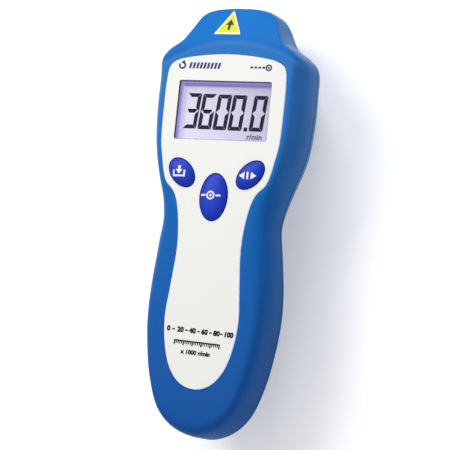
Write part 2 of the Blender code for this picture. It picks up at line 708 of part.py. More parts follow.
def front_shell(shop, finish):
    """The face half: recess, display hole, button holes, screw posts and the battery's ribs."""
    shell = housing_shell(shop, "front_shell", finish, rear=False)
    embed = WALL / 2
    for k, (x, y) in enumerate(CASE_SCREW_PLACES):
        low = CASE_BOSS_TOP + SEAT
        post = shop.cylinder(f"case_post_{k}", CASE_POST_RADIUS, (x, y, low), (x, y, face_z(y) - embed))
        shop.join(shell, post)
    for k, (x, y) in enumerate(BOARD_SCREW_PLACES):
        low = BOARD_TOP_Z + SEAT
        post = shop.cylinder(f"board_post_{k}", BOARD_POST_RADIUS, (x, y, low), (x, y, face_z(y) - embed))
        shop.join(shell, post)
    battery_top = BATTERY_BOTTOM + BATTERY_SIZE[2] + SEAT
    for k, y in enumerate((BATTERY_NEAR_Y - BATTERY_RIB_INSET, BATTERY_FAR_Y + BATTERY_RIB_INSET)):
        shop.join(shell, cross_rib(shop, f"battery_rib_{k}", y, battery_top, FACE_Z - embed, RIB_WIDTH))
    clamp_y = (OPTICS_FRONT_Y + OPTICS_BACK_Y) / 2
    clamp_low = OPTICS_HEIGHT + OPTICS_HOLDER_SIZE[2] / 2 + SEAT
    shop.join(shell, cross_rib(shop, "optics_clamp", clamp_y, clamp_low, face_z(clamp_y) - embed, RIB_WIDTH))

    above = FACE_Z + CUT_CLEAR
    below = INNER_FACE_Z - OVERSHOOT
    shop.cut(shell, shop.plate("panel_recess", panel_outline(SEAT), RECESS_Z, above))
    hole = rounded_rectangle(*DISPLAY_HOLE, DISPLAY_CORNER + SEAT, (0.0, DISPLAY_Y))
    shop.cut(shell, shop.plate("display_hole", hole, below, above))
    for side, (size, centre, lean) in BUTTONS.items():
        outline = oval(size, centre, lean, BUTTON_CLEARANCE)
        shop.cut(shell, shop.plate(f"{side}_hole", outline, below, above))
    shop.cut(shell, through_nose(shop, "front_aperture", SEAT, TIP_Y + OVERSHOOT, TIP_Y - APERTURE_DEPTH))
    pilot = CASE_SCREW_RADIUS + SCREW_CLEARANCE
    for k, (x, y) in enumerate(CASE_SCREW_PLACES):
        top = CASE_BOSS_TOP + SEAT + CASE_SCREW_REACH + OVERSHOOT
        shop.cut(shell, shop.cylinder(f"case_pilot_{k}", pilot, (x, y, CASE_BOSS_TOP), (x, y, top)))
    pilot = BOARD_SCREW_RADIUS + SCREW_CLEARANCE
    for k, (x, y) in enumerate(BOARD_SCREW_PLACES):
        top = BOARD_TOP_Z + BOARD_SCREW_DEPTH + OVERSHOOT
        shop.cut(shell, shop.cylinder(f"board_pilot_{k}", pilot, (x, y, BOARD_TOP_Z), (x, y, top)))
    return shell


def rear_shell(shop, finish):
    """The back half: screw bosses with their counterbores, the optics' cradle and the battery opening."""
    shell = housing_shell(shop, "rear_shell", finish, rear=True)
    embed = 0.75 * WALL
    for k, (x, y) in enumerate(CASE_SCREW_PLACES):
        boss = shop.cylinder(f"boss_{k}", CASE_BOSS_RADIUS, (x, y, back_z(y) + embed), (x, y, CASE_BOSS_TOP))
        shop.join(shell, boss)
    cradle_top = OPTICS_HEIGHT - OPTICS_HOLDER_SIZE[2] / 2 - SEAT
    for k, y in enumerate((OPTICS_BACK_Y + CRADLE_INSETS[0], OPTICS_FRONT_Y - CRADLE_INSETS[1])):
        shop.join(shell, cross_rib(shop, f"cradle_{k}", y, back_z(y) + WALL / 2, cradle_top, RIB_WIDTH))
    counterbore = CASE_SCREW_HEAD[0] + SCREW_CLEARANCE
    for k, (x, y) in enumerate(CASE_SCREW_PLACES):
        seat = CASE_BOSS_TOP - CASE_SCREW_SEAT
        shop.cut(shell, shop.cylinder(f"counterbore_{k}", counterbore, (x, y, -OVERSHOOT), (x, y, seat)))
        bore = CASE_SCREW_RADIUS + SCREW_CLEARANCE
        ends = (x, y, seat - OVERSHOOT), (x, y, CASE_BOSS_TOP + OVERSHOOT)
        shop.cut(shell, shop.cylinder(f"bore_{k}", bore, *ends))
    shop.cut(shell, through_nose(shop, "rear_aperture", SEAT, TIP_Y + OVERSHOOT, TIP_Y - APERTURE_DEPTH))
    half = DOOR_WIDTH / 2
    low = (-half, END_Y - CUT_CLEAR, -CUT_CLEAR)
    opening = shop.box("battery_opening", low, (half, DOOR_Y, DOOR_HEIGHT))
    shop.cut(shell, opening)
    return shell


def battery_door(shop, finish):
    """The part of the back half that the opening leaves out, with its tongue and finger grooves."""
    door = housing_shell(shop, "battery_door", finish, rear=True)
    half = DOOR_WIDTH / 2 - SLIDE_GAP
    near = DOOR_Y - SLIDE_GAP
    top = DOOR_HEIGHT - SLIDE_GAP
    space = shop.box("door_space", (-half, END_Y - CUT_CLEAR, -CUT_CLEAR), (half, near, top))
    shop.combine(door, "INTERSECT", space)
    width, reach, thickness = DOOR_TONGUE
    inner = back_z(DOOR_Y) + WALL
    tongue_low = back_z(DOOR_Y + reach) + WALL + SLIDE_GAP
    tongue_high = tongue_low + thickness
    root = (-width / 2, near - TONGUE_ROOT, inner - WALL / 2), (width / 2, near - SEAT, tongue_high)
    tongue = (-width / 2, near - TONGUE_ROOT / 2, tongue_low), (width / 2, near + reach, tongue_high)
    shop.join(door, shop.box("tongue_root", *root), shop.box("tongue", *tongue))
    rib_top = BATTERY_BOTTOM - PAD_THICKNESS - 2 * SEAT
    for k, y in enumerate((BATTERY_NEAR_Y - PAD_RIB_INSET, BATTERY_FAR_Y + PAD_RIB_INSET)):
        shop.join(door, cross_rib(shop, f"pad_rib_{k}", y, WALL / 2, rib_top, RIB_WIDTH))
    for k in range(DOOR_RIB_COUNT):
        y = BATTERY_FAR_Y + DOOR_RIB_START - k * DOOR_RIB_PITCH
        low = (-RIB_WIDTH / 2, y - DOOR_RIB_WIDTH / 2, -OVERSHOOT)
        high = (RIB_WIDTH / 2, y + DOOR_RIB_WIDTH / 2, back_z(y) + WALL / 4)
        shop.cut(door, shop.box(f"finger_groove_{k}", low, high))
    return door


def face_panel(shop, finish):
    panel = shop.plate("face_panel", panel_outline(), PANEL_LOW_Z, PANEL_TOP_Z, finish)
    below = PANEL_LOW_Z - OVERSHOOT
    above = PANEL_TOP_Z + OVERSHOOT
    opening = rounded_rectangle(DISPLAY_WIDTH, DISPLAY_HEIGHT, DISPLAY_CORNER, (0.0, DISPLAY_Y))
    shop.cut(panel, shop.plate("panel_opening", opening, below, above))
    for side, (size, centre, lean) in BUTTONS.items():
        outline = oval(size, centre, lean, BUTTON_CLEARANCE)
        shop.cut(panel, shop.plate(f"{side}_panel_hole", outline, below, above))
    shop.bevel(panel, PANEL_EDGE, 1)
    return panel


def block_at(shop, name, size, centre, top, finish=None, edge=0.0):
    """A block of the given size that hangs from a height."""
    low = (centre[0] - size[0] / 2, centre[1] - size[1] / 2, top - size[2])
    high = (centre[0] + size[0] / 2, centre[1] + size[1] / 2, top)
    return shop.box(name, low, high, finish, edge)


def frame_at(shop, name, inner, rim, low, high, finish):
    """A rectangular frame round the display."""
    centre = (0.0, DISPLAY_Y)
    outer = [side + 2 * rim for side in inner]
    made = shop.plate(name, rounded_rectangle(*outer, DISPLAY_CORNER, centre), low, high, finish)
    hole = rounded_rectangle(*inner, DISPLAY_CORNER / 2, centre)
    shop.cut(made, shop.plate(name + "_hole", hole, low - OVERSHOOT, high + OVERSHOOT))
    return made


def display(shop, finishes):
    centre = (0.0, DISPLAY_Y)
    width, height = WINDOW_SIZE
    corner = rounded_rectangle(width, height, DISPLAY_CORNER, centre)
    shop.plate("display_window", corner, WINDOW_LOW_Z, WINDOW_TOP_Z, finishes["clear"])
    inner = (width - 2 * GASKET_RIM, height - 2 * GASKET_RIM)
    frame_at(shop, "display_gasket", inner, GASKET_RIM, GASKET_LOW_Z, GASKET_TOP_Z, finishes["gasket"])
    block_at(shop, "lcd_cell", (width, height, LCD_THICKNESS), centre, LCD_TOP_Z, finishes["lcd"])
    under = LCD_LOW_Z - SEAT
    foot = BOARD_TOP_Z + SEAT
    light = (width - 2 * BACKLIGHT_SIDE_ROOM, height - 2 * (ZEBRA_WIDTH + SEAT), BACKLIGHT_THICKNESS)
    block_at(shop, "backlight_panel", light, centre, under, finishes["light guide"])
    lamp = (BACKLIGHT_LED_WIDTH, BACKLIGHT_LED_LENGTH, under - foot)
    beside = (light[0] / 2 + SEAT + BACKLIGHT_LED_WIDTH / 2, DISPLAY_Y)
    block_at(shop, "backlight_led", lamp, beside, under, finishes["lamp"])
    strip = (light[0], ZEBRA_WIDTH, under - foot)
    offset = height / 2 - ZEBRA_WIDTH / 2
    for name, y in (("zebra_strip_top", DISPLAY_Y + offset), ("zebra_strip_bottom", DISPLAY_Y - offset)):
        block_at(shop, name, strip, (0.0, y), under, finishes["zebra"])
    pocket = (width + 2 * SEAT, height + 2 * SEAT)
    frame_at(shop, "lcd_holder", pocket, HOLDER_RIM, foot, INNER_FACE_Z - SEAT, finishes["ivory"])


def dome(size, centre, lean):
    """The rings of a button's cap, from the foot of its stem to near the top of its dome."""
    stem = (2 * BUTTON_STEM_RADIUS, 2 * BUTTON_STEM_RADIUS)
    rings = [
        (oval(stem, centre, lean), STEM_LOW_Z),
        (oval(stem, centre, lean), FLANGE_LOW_Z),
        (oval(size, centre, lean, BUTTON_FLANGE_RIM), FLANGE_LOW_Z),
        (oval(size, centre, lean, BUTTON_FLANGE_RIM), FLANGE_TOP_Z),
        (oval(size, centre, lean), FLANGE_TOP_Z),
    ]
    for degrees in DOME_DEGREES:
        turn = math.radians(degrees)
        share = math.cos(turn) ** DOME_FULLNESS
        ring = oval((size[0] * share, size[1] * share), centre, lean)
        rings.append((ring, PANEL_TOP_Z + BUTTON_PROUD * math.sin(turn)))
    return rings


def button(shop, side, finish, metal, plastic):
    """A domed cap with its retaining flange and stem, over a tact switch and its plunger."""
    size, centre, lean = BUTTONS[side]
    bm = bmesh.new()
    rings = [[bm.verts.new((p.x, p.y, z)) for p in outline] for outline, z in dome(size, centre, lean)]
    bm.faces.new(reversed(rings[0]))
    for low, high in zip(rings, rings[1:]):
        for k in range(OVAL_SEGMENTS):
            following = (k + 1) % OVAL_SEGMENTS
            bm.faces.new((low[k], low[following], high[following], high[k]))
    bm.faces.new(rings[-1])
    cap = shop.from_bmesh(f"button_{side}", bm, finish)

    block = (SWITCH_SIZE, SWITCH_SIZE, SWITCH_HEIGHT)
    base = block_at(shop, f"switch_base_{side}", block, centre, SWITCH_TOP_Z, metal)
    plunger_low = SWITCH_TOP_Z - PLUNGER_DEPTH
    floor = plunger_low - BUTTON_TRAVEL - SEAT
    bore_radius = PLUNGER_RADIUS + PLUNGER_CLEARANCE
    ends = (*centre, floor), (*centre, SWITCH_TOP_Z + OVERSHOOT)
    shop.cut(base, shop.cylinder(f"{side}_plunger_bore", bore_radius, *ends))
    low = (*centre, plunger_low)
    plunger = shop.cylinder(f"switch_plunger_{side}", PLUNGER_RADIUS, low, (*centre, PLUNGER_TOP_Z), plastic)
    on_axis(shop, f"{side}_key_axis", (*centre, PANEL_TOP_Z), cap, plunger)


def on_axis(shop, name, place, *pieces):
    """An empty on a joint's axis, which carries the pieces that the joint moves."""
    axis = bpy.data.objects.new(name, None)
    axis.location = place
    axis.empty_display_size = 5 * MM
    shop.parts.objects.link(axis)
    for piece in pieces:
        piece.parent = axis
        piece.matrix_parent_inverse = Matrix.Translation(-Vector(place))


def boards(shop, finishes):
    top = DISPLAY_TOP_Y + BOARD_ABOVE_DISPLAY
    low = DISPLAY_LOW_Y - BOARD_BELOW_DISPLAY
    half = []
    for k in range(BOARD_OUTLINE_STEPS + 1):
        y = top + (low - top) * k / BOARD_OUTLINE_STEPS
        half.append(Vector((half_width(y) - BOARD_MARGIN, y)))
    outline = half + [Vector((-p.x, p.y)) for p in reversed(half)]
    board = shop.plate("main_board", outline, BOARD_LOW_Z, BOARD_TOP_Z, finishes["board"])
    bore = BOARD_SCREW_RADIUS + SCREW_CLEARANCE
    for k, (x, y) in enumerate(BOARD_SCREW_PLACES):
        ends = (x, y, BOARD_LOW_Z - OVERSHOOT), (x, y, BOARD_TOP_Z + OVERSHOOT)
        shop.cut(board, shop.cylinder(f"board_hole_{k}", bore, *ends))
    under = BOARD_LOW_Z - SEAT
    chip = (CHIP_SIZE, CHIP_SIZE, CHIP_THICKNESS)
    block_at(shop, "microcontroller", chip, (0.0, DISPLAY_Y - CHIP_BELOW_DISPLAY), under, finishes["chip"])
    across, below = CRYSTAL_PLACE
    place = (across, DISPLAY_Y - below)
    block_at(shop, "crystal_can", CRYSTAL_SIZE, place, under, finishes["steel"], CRYSTAL_EDGE)
    across, below = CAPACITOR_PLACE
    ends = [(across, DISPLAY_Y - below, z) for z in (under - CAPACITOR_LENGTH, under)]
    shop.cylinder("electrolytic_capacitor", CAPACITOR_RADIUS, *ends, finishes["capacitor"])


def screws(shop, name, places, sizes, heights, finish):
    """Screws driven upwards: head below the bearing face, shank up to the tip."""
    radius, (head_radius, head_height) = sizes
    bearing_z, tip_z = heights
    profile = (
        (0.0, tip_z),
        (radius / 2, tip_z),
        (radius, tip_z - radius),
        (radius, bearing_z),
        (head_radius, bearing_z),
        (head_radius, bearing_z - 0.6 * head_height),
        (0.7 * head_radius, bearing_z - head_height),
        (0.0, bearing_z - head_height),
    )
    for k, (x, y) in enumerate(places):
        screw = shop.turned(f"{name}_{k + 1}", profile, finish)
        screw.location = (x, y, 0.0)


def along_nose(shop, name, x, radius, back_y, front_y, finish=None):
    ends = (x, back_y, OPTICS_HEIGHT), (x, front_y, OPTICS_HEIGHT)
    return shop.cylinder(name, radius, *ends, finish, OPTIC_SEGMENTS)


def optics(shop, finishes):
    """Laser and receiver side by side in one block behind the nose window."""
    through_nose(shop, "nose_window", 0.0, WINDOW_FRONT_Y, WINDOW_BACK_Y, finishes["smoked"])
    width, _, height = OPTICS_HOLDER_SIZE
    low_z = OPTICS_HEIGHT - height / 2
    high_z = OPTICS_HEIGHT + height / 2
    low = (-width / 2, OPTICS_BACK_Y, low_z)
    holder = shop.box("optics_holder", low, (width / 2, OPTICS_FRONT_Y, high_z), finishes["black plastic"])
    through = OPTICS_BACK_Y - OVERSHOOT, OPTICS_FRONT_Y + OVERSHOOT
    shop.cut(
        holder,
        along_nose(shop, "laser_bore", -LASER_OFFSET, LASER_RADIUS + SEAT, *through),
        along_nose(shop, "receiver_bore", RECEIVER_OFFSET, RECEIVER_RADIUS + SEAT, *through),
    )
    half = SENSOR_BOARD_WIDTH / 2
    low = (-half, SENSOR_BACK_Y, low_z)
    shop.box("sensor_board", low, (half, SENSOR_FRONT_Y, high_z), finishes["board"])

    start = SENSOR_FRONT_Y + SEAT
    barrel_end = start + LASER_LENGTH
    along_nose(shop, "laser_barrel", -LASER_OFFSET, LASER_RADIUS, start, barrel_end, finishes["brass"])
    lens_start = barrel_end + SEAT
    lens_end = lens_start + LASER_LENS_THICKNESS
    along_nose(shop, "laser_lens", -LASER_OFFSET, LASER_LENS_RADIUS, lens_start, lens_end, finishes["clear"])
    diode_end = start + DIODE_LENGTH
    along_nose(shop, "photodiode", RECEIVER_OFFSET, DIODE_RADIUS, start, diode_end, finishes["smoked"])

    ring_front = OPTICS_FRONT_Y - SEAT
    ring_back = ring_front - RETAINER_THICKNESS
    black = finishes["black plastic"]
    ring = along_nose(
        shop, "lens_retainer", RECEIVER_OFFSET, RECEIVER_RADIUS, ring_back, ring_front, black
    )
    through = ring_back - OVERSHOOT, ring_front + OVERSHOOT
    inner = RECEIVER_RADIUS - RETAINER_RIM
    shop.cut(ring, along_nose(shop, "retainer_hole", RECEIVER_OFFSET, inner, *through))
    lens_front = ring_back - SEAT
    profile = [(0.0, 0.0)]
    for k in range(1, LENS_STEPS + 1):
        turn = math.pi / 2 * k / LENS_STEPS
        profile.append((RECEIVER_RADIUS * math.sin(turn), RECEIVER_LENS_CROWN * (math.cos(turn) - 1)))
    profile.append((RECEIVER_RADIUS, -RECEIVER_LENS_THICKNESS))
    profile.append((0.0, -RECEIVER_LENS_THICKNESS))
    lens = shop.turned("receiver_lens", profile, finishes["clear"], OPTIC_SEGMENTS)
    lens.location = (RECEIVER_OFFSET, lens_front, OPTICS_HEIGHT)
    lens.rotation_euler.x = math.radians(-90)


def ribbon(shop, finish):
    """A flat lead from the sensor board's back down to the underside of the main board."""
    under = BOARD_LOW_Z - SEAT - RIBBON_THICKNESS / 2
    top = OPTICS_HEIGHT + OPTICS_HOLDER_SIZE[2] / 2
    near = SENSOR_BACK_Y - SEAT - RIBBON_THICKNESS / 2
    board_edge = DISPLAY_TOP_Y + BOARD_ABOVE_DISPLAY
    places = smooth_route((
        (0, near, top - 3 * MM),
        (0, near - 0.3 * MM, top - 1 * MM),
        (0, near - 2.5 * MM, under - 0.3 * MM),
        (0, board_edge, under),
        (0, board_edge - 4 * MM, under),
    ), 3)
    bm = bmesh.new()
    half = RIBBON_WIDTH / 2
    lines = [[bm.verts.new((x, p.y, p.z)) for p in places] for x in (-half, half)]
    for a, b, c, d in zip(lines[0], lines[0][1:], lines[1][1:], lines[1]):
        bm.faces.new((a, b, c, d))
    made = shop.from_bmesh("sensor_ribbon", bm, finish)
    depth = made.modifiers.new("thickness", "SOLIDIFY")
    depth.thickness = RIBBON_THICKNESS
    depth.offset = 0.0


def power(shop, finishes, door):
    """The battery with its snap and leads, and the foam pad that is glued to the door."""
    width, _, height = BATTERY_SIZE
    low = (-width / 2, BATTERY_FAR_Y, BATTERY_BOTTOM)
    high = (width / 2, BATTERY_NEAR_Y, BATTERY_BOTTOM + height)
    shop.box("battery", low, high, finishes["battery"], BATTERY_EDGE)
    middle = BATTERY_BOTTOM + height / 2
    snap_width, snap_height = SNAP_SIZE
    snap_near = BATTERY_NEAR_Y + SEAT
    snap_far = snap_near + SNAP_THICKNESS
    low = (-snap_width / 2, snap_near, middle - snap_height / 2)
    high = (snap_width / 2, snap_far, middle + snap_height / 2)
    shop.box("battery_snap", low, high, finishes["black plastic"], SNAP_EDGE)
    pad_top = BATTERY_BOTTOM - SEAT
    low = (-width / 2 + PAD_INSET / 2, BATTERY_FAR_Y + PAD_INSET, pad_top - PAD_THICKNESS)
    high = (width / 2 - PAD_INSET / 2, BATTERY_NEAR_Y - PAD_INSET, pad_top)
    pad = shop.box("battery_pad", low, high, finishes["foam"])
    on_axis(shop, "door_slide", (0.0, DOOR_Y, 0.0), door, pad)
    board_low = BOARD_LOW_Z - SEAT
    board_edge = DISPLAY_LOW_Y - BOARD_BELOW_DISPLAY
    for name, x in (("red_lead", LEAD_OFFSET), ("black_lead", -LEAD_OFFSET)):
        places = smooth_route((
            (x, snap_far + SEAT, middle),
            (x, snap_far + 3 * MM, middle + 0.6 * MM),
            (x, board_edge - 2 * MM, (middle + board_low) / 2 - 1.5 * MM),
            (x, board_edge + 1.5 * MM, board_low - 3.5 * MM),
            (x, board_edge + 2.2 * MM, board_low),
        ), 4)
        shop.tube(name, places, LEAD_RADIUS, finishes[name])


def main():
    shop = Workshop("laser_tachometer")
    finishes = {
        "blue": material("blue_shell", (0.016, 0.105, 0.376), 0.42),
        "white": material("white_panel", (0.87, 0.87, 0.84), 0.45),
        "button blue": material("button_blue", (0.018, 0.040, 0.480), 0.38),
        "clear": material("clear_plastic", (0.92, 0.92, 0.96), 0.05, alpha=0.25),
        "gasket": material("gasket_purple", (0.17, 0.14, 0.26), 0.6),
        "lcd": material("lcd_glass", (0.74, 0.72, 0.88), 0.2),
        "light guide": material("light_guide", (0.80, 0.78, 0.95), 0.3),
        "lamp": material("lamp_epoxy", (0.85, 0.82, 0.60), 0.3),
        "zebra": material("zebra_rubber", (0.08, 0.08, 0.09), 0.7),
        "ivory": material("ivory_plastic", (0.75, 0.73, 0.66), 0.5),
        "board": material("green_board", (0.02, 0.16, 0.06), 0.45),
        "chip": material("chip_epoxy", (0.02, 0.02, 0.02), 0.55),
        "steel": material("bright_steel", (0.62, 0.62, 0.63), 0.3, 1.0),
        "capacitor": material("capacitor_sleeve", (0.03, 0.03, 0.06), 0.4),
        "brass": material("brass", (0.68, 0.48, 0.18), 0.3, 1.0),
        "smoked": material("smoked_acrylic", (0.04, 0.01, 0.02), 0.08),
        "black plastic": material("black_plastic", (0.02, 0.02, 0.022), 0.5),
        "battery": material("battery_jacket", (0.10, 0.10, 0.11), 0.35),
        "foam": material("grey_foam", (0.20, 0.20, 0.21), 0.95),
        "ribbon": material("ribbon_film", (0.55, 0.36, 0.10), 0.4),
        "red_lead": material("red_insulation", (0.50, 0.02, 0.02), 0.5),
        "black_lead": material("black_insulation", (0.02, 0.02, 0.02), 0.5),
    }
    front_shell(shop, finishes["blue"])
    rear_shell(shop, finishes["blue"])
    door = battery_door(shop, finishes["blue"])
    face_panel(shop, finishes["white"])
    display(shop, finishes)
    for side in BUTTONS:
        button(shop, side, finishes["button blue"], finishes["steel"], finishes["black plastic"])
    boards(shop, finishes)
    optics(shop, finishes)
    ribbon(shop, finishes["ribbon"])
    power(shop, finishes, door)
    case_heights = CASE_BOSS_TOP - CASE_SCREW_SEAT - SEAT, CASE_BOSS_TOP + SEAT + CASE_SCREW_REACH
    case_sizes = CASE_SCREW_RADIUS, CASE_SCREW_HEAD
    screws(shop, "case_screw", CASE_SCREW_PLACES, case_sizes, case_heights, finishes["steel"])
    board_heights = BOARD_LOW_Z - SEAT, BOARD_TOP_Z + BOARD_SCREW_DEPTH
    board_sizes = BOARD_SCREW_RADIUS, BOARD_SCREW_HEAD
    screws(shop, "board_screw", BOARD_SCREW_PLACES, board_sizes, board_heights, finishes["steel"])


main()
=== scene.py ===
"""Looks of the handheld laser tachometer: finishes, display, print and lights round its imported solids."""

import json
import math

import bmesh
import bpy
from mathutils import Matrix, Vector, interpolate
from mathutils.bvhtree import BVHTree


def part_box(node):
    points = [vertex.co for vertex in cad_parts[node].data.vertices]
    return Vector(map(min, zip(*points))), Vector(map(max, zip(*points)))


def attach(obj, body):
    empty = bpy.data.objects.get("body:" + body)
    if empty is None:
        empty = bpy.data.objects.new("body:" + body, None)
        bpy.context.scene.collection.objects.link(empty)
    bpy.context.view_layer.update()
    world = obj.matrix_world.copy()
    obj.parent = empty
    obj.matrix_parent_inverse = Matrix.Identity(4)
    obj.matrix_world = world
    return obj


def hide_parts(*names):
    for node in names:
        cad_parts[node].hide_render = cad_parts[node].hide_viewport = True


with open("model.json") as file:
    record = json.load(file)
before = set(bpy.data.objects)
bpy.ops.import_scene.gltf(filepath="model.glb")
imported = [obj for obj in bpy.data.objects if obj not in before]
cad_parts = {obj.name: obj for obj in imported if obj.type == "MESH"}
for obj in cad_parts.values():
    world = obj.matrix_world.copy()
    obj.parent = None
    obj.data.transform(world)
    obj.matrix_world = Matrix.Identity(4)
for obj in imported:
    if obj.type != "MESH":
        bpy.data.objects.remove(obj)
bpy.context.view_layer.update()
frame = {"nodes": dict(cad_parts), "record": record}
nodes = frame["nodes"]

MM = 0.001

# Camera, measured from the photograph
IMAGE_SIDE = 450
PIXELS_PER_METRE = 2685.0
CAMERA_DISTANCE = 0.9
CAMERA_TURN = math.radians(23.0)
CAMERA_TILT = math.radians(7.0)
CAMERA_ROLL = math.radians(5.9)
CAMERA_NEAR = 0.05
CAMERA_FAR = 20.0
SENSOR_MILLIMETRES = 36.0
DISPLAY_PIXEL = (222.55, 110.5)

# Floor, world and lights; a light has a name, a place, an aim, its width and height, and a power
FLOOR_HALF = 3.0
FLOOR_GLOW = 0.34
WORLD_STRENGTH = 0.36
LIGHTS = (
    ("key", (-0.55, 0.45, 0.85), (0.0, 0.0, 0.02), (0.6, 0.6), 6.9),
    ("fill", (0.3, -0.8, 0.5), (0.0, -0.02, 0.02), (0.8, 0.5), 1.3),
    ("nose light", (-0.05, 0.9, 0.45), (0.0, 0.07, 0.03), (0.5, 0.3), 4.2),
)

# The housing's outer surface, as the part's source makes it
WAIST_WIDTH = 44.6 * MM
GRIP_WIDTH = 48.4 * MM
NOSE_WIDTH = 29.0 * MM
HEAD_WIDTH = 60.4 * MM
NOSE_LENGTH = 21.7 * MM
FACE_Z = 40.2 * MM
FACE_BORDER = 5.2 * MM
SPLIT_GAP = 0.3 * MM
SKIRT = 0.8 * MM
NOSE_FALL = 7.0 * MM
NOSE_RISE = 9.0 * MM
END_RISE = 6.0 * MM
WAIST_RISE = 3.6 * MM
RIDGE_ABOVE_OPENING = 13.15 * MM
RIDGE_EASE = 4.5 * MM
ROW_BOW_RADIUS = 110.0 * MM
REAR_HEAD_FULLNESS = 1.3
REAR_GRIP_FULLNESS = 1.14
WAIST_FULLNESS = 3.2
END_FULLNESS = 5.0
HEAD_FULLNESS = 2.1
NOSE_FULLNESS = 3.0
GRIP_SPLIT_DROP = 17.7 * MM
WAIST_SPLIT_DROP = 13.7 * MM
HEAD_SPLIT_DROP = 16.3 * MM
DISPLAY_HEIGHT = 22.5 * MM
SHOULDER_ABOVE_DISPLAY = 8.25 * MM
HEAD_BELOW_DISPLAY = 3.25 * MM
NECK_LENGTH = 27.0 * MM
GRIP_BELOW_WAIST = 36.0 * MM

# How finely the smooth surface is divided, and what counts as lying on it
SKIN_ROWS = 12
SKIN_LEVELS = 24
SKIN_COLUMNS = 12
SKIN_MERGE = 1e-6
SKIN_REACH = 0.7 * MM
SKIN_FLATNESS = 0.006 * MM
SKIN_SHORTEST = 0.9 * MM
SKIN_PASSES = 6
OUTER_REACH = 0.6 * MM
OUTER_FACING = 0.8
GROOVE_REACH = 0.25 * MM
MIDDLE_REACH = 0.01 * MM
FACET_MERGE = 0.002 * MM
SLIVER_MERGE = 0.02 * MM
SHARP_ANGLE = math.radians(32)
LEVEL = 0.9995

# How print is made and laid on a surface
PRINT_THICKNESS = 0.06 * MM
PRINT_LIFT = 0.03 * MM
PRINT_LONGEST = 0.7 * MM
PRINT_PASSES = 4
DROP_HEIGHT = 0.1
CAPITAL_SHARE = 0.69
LETTER_STEPS = 3
LETTER_MERGE = 0.5e-6
CORNER_MARGIN = 1e-7
CORNER_SEGMENTS = 3
RING_STEPS = 24
DOT_STEPS = 16
WHOLE_TURN = math.radians(359.9)

# The value and the unit on the display; places are measured from its middle in millimetres
SHOWN_VALUE = "36000"
DIGIT_PLACES = ((-13.95, 0.25), (-7.8, 0.12), (-1.65, 0.0), (4.5, -0.05), (13.0, -0.1))
DIGIT_WIDTH = 5.55 * MM
DIGIT_HEIGHT = 13.5 * MM
DIGIT_STROKE = 1.48 * MM
DIGIT_GAP = 0.18 * MM
DIGIT_WAIST = 0.45 * MM
DIGIT_SLANT = math.radians(5.0)
MIDDLE_CUTS = (0.5, 0.5)
OTHER_CUTS = (0.92, 0.22)
POINT_PLACE = (8.35, -6.2)
SHOWN_UNIT = "r/min"
UNIT_HEIGHT = 2.0 * MM
UNIT_BOLD = 0.07 * MM
UNIT_PLACE = (12.2, -9.1)

# Signs on the buttons, placed likewise; a tray, a ring and two arrowheads, before they are scaled
LEGEND_PLACES = {"left": (-14.5, -23.7), "centre": (-0.8, -32.2), "right": (13.2, -24.3)}
LEGEND_SIZES = {"left": 1.25, "centre": 1.0, "right": 1.15}
TRAY_FLOOR = (4.0 * MM, 0.55 * MM)
TRAY_FLOOR_Y = -1.3 * MM
TRAY_SIDE = (0.55 * MM, 1.5 * MM)
TRAY_SIDE_X = 1.75 * MM
TRAY_SIDE_Y = -0.3 * MM
TRAY_STEM = (0.8 * MM, 1.2 * MM)
TRAY_STEM_Y = 1.2 * MM
TRAY_HEAD = (2.2 * MM, 1.3 * MM)
TRAY_HEAD_Y = -0.05 * MM
AIM_RING = (1.35 * MM, 0.6 * MM)
AIM_DOT = (0.26 * MM, 0.5 * MM)
AIM_DASH = (1.9 * MM, 0.65 * MM)
AIM_DASH_X = 3.0 * MM
STEP_HEAD = (2.4 * MM, 2.0 * MM)
STEP_HEAD_X = 2.1 * MM
STEP_BAR = (0.65 * MM, 2.4 * MM)

# Signs above the display, placed likewise: a turning arrow with leaning bars, and a beam with its target
LEFT_SIGN_PLACE = (-18.2, 16.9)
TURN_RING = (1.15 * MM, 0.65 * MM)
TURN_START = math.radians(60)
TURN_SWEEP = math.radians(-270)
TURN_HEAD = (1.7 * MM, 1.4 * MM)
TURN_HEAD_SHIFT = 0.1 * MM
LEANING_BARS = 9
LEANING_BAR = (0.85 * MM, 2.3 * MM)
LEANING_START = 3.4
LEANING_PITCH = 1.45
LEANING_SLOPE = 0.25
RIGHT_SIGN_PLACE = (13.6, 16.6)
TARGET_RING = (1.0 * MM, 0.55 * MM)
TARGET_DOT = (0.2 * MM, 0.38 * MM)
TARGET_SHIFT = 3.2 * MM
BEAM_DASHES = 4
BEAM_DASH = (1.05 * MM, 0.75 * MM)
BEAM_START = -3.6
BEAM_PITCH = 1.6

# The handle's print: a line of numbers, the scale and the unit below it
HANDLE_LINES = (3.9 * MM, -0.1 * MM, -4.1 * MM)
HANDLE_MIDDLE = (-0.6 * MM, -86.9 * MM)
HANDLE_TURN = math.radians(-2.6)
SCALE_TICKS = 26
SCALE_WIDTH = 18.0 * MM
SCALE_LINE = 0.5 * MM
LONG_TICK = (0.5 * MM, 1.6 * MM)
LONG_TICK_EVERY = 5
SHORT_TICK = (0.34 * MM, 1.1 * MM)
SCALE_NUMBERS = ("0", "20", "40", "60", "80", "100")
NUMBER_SPREAD = 24.2 * MM
NUMBER_HEIGHT = 1.75 * MM
NUMBER_BOLD = 0.15 * MM
NUMBER_DASH = (1.0 * MM, 0.5 * MM)
NUMBER_DASH_SHIFT = -0.45 * MM
SCALE_UNIT = "x 1000 r/min"
SCALE_UNIT_HEIGHT = 1.55 * MM
SCALE_UNIT_BOLD = 0.11 * MM

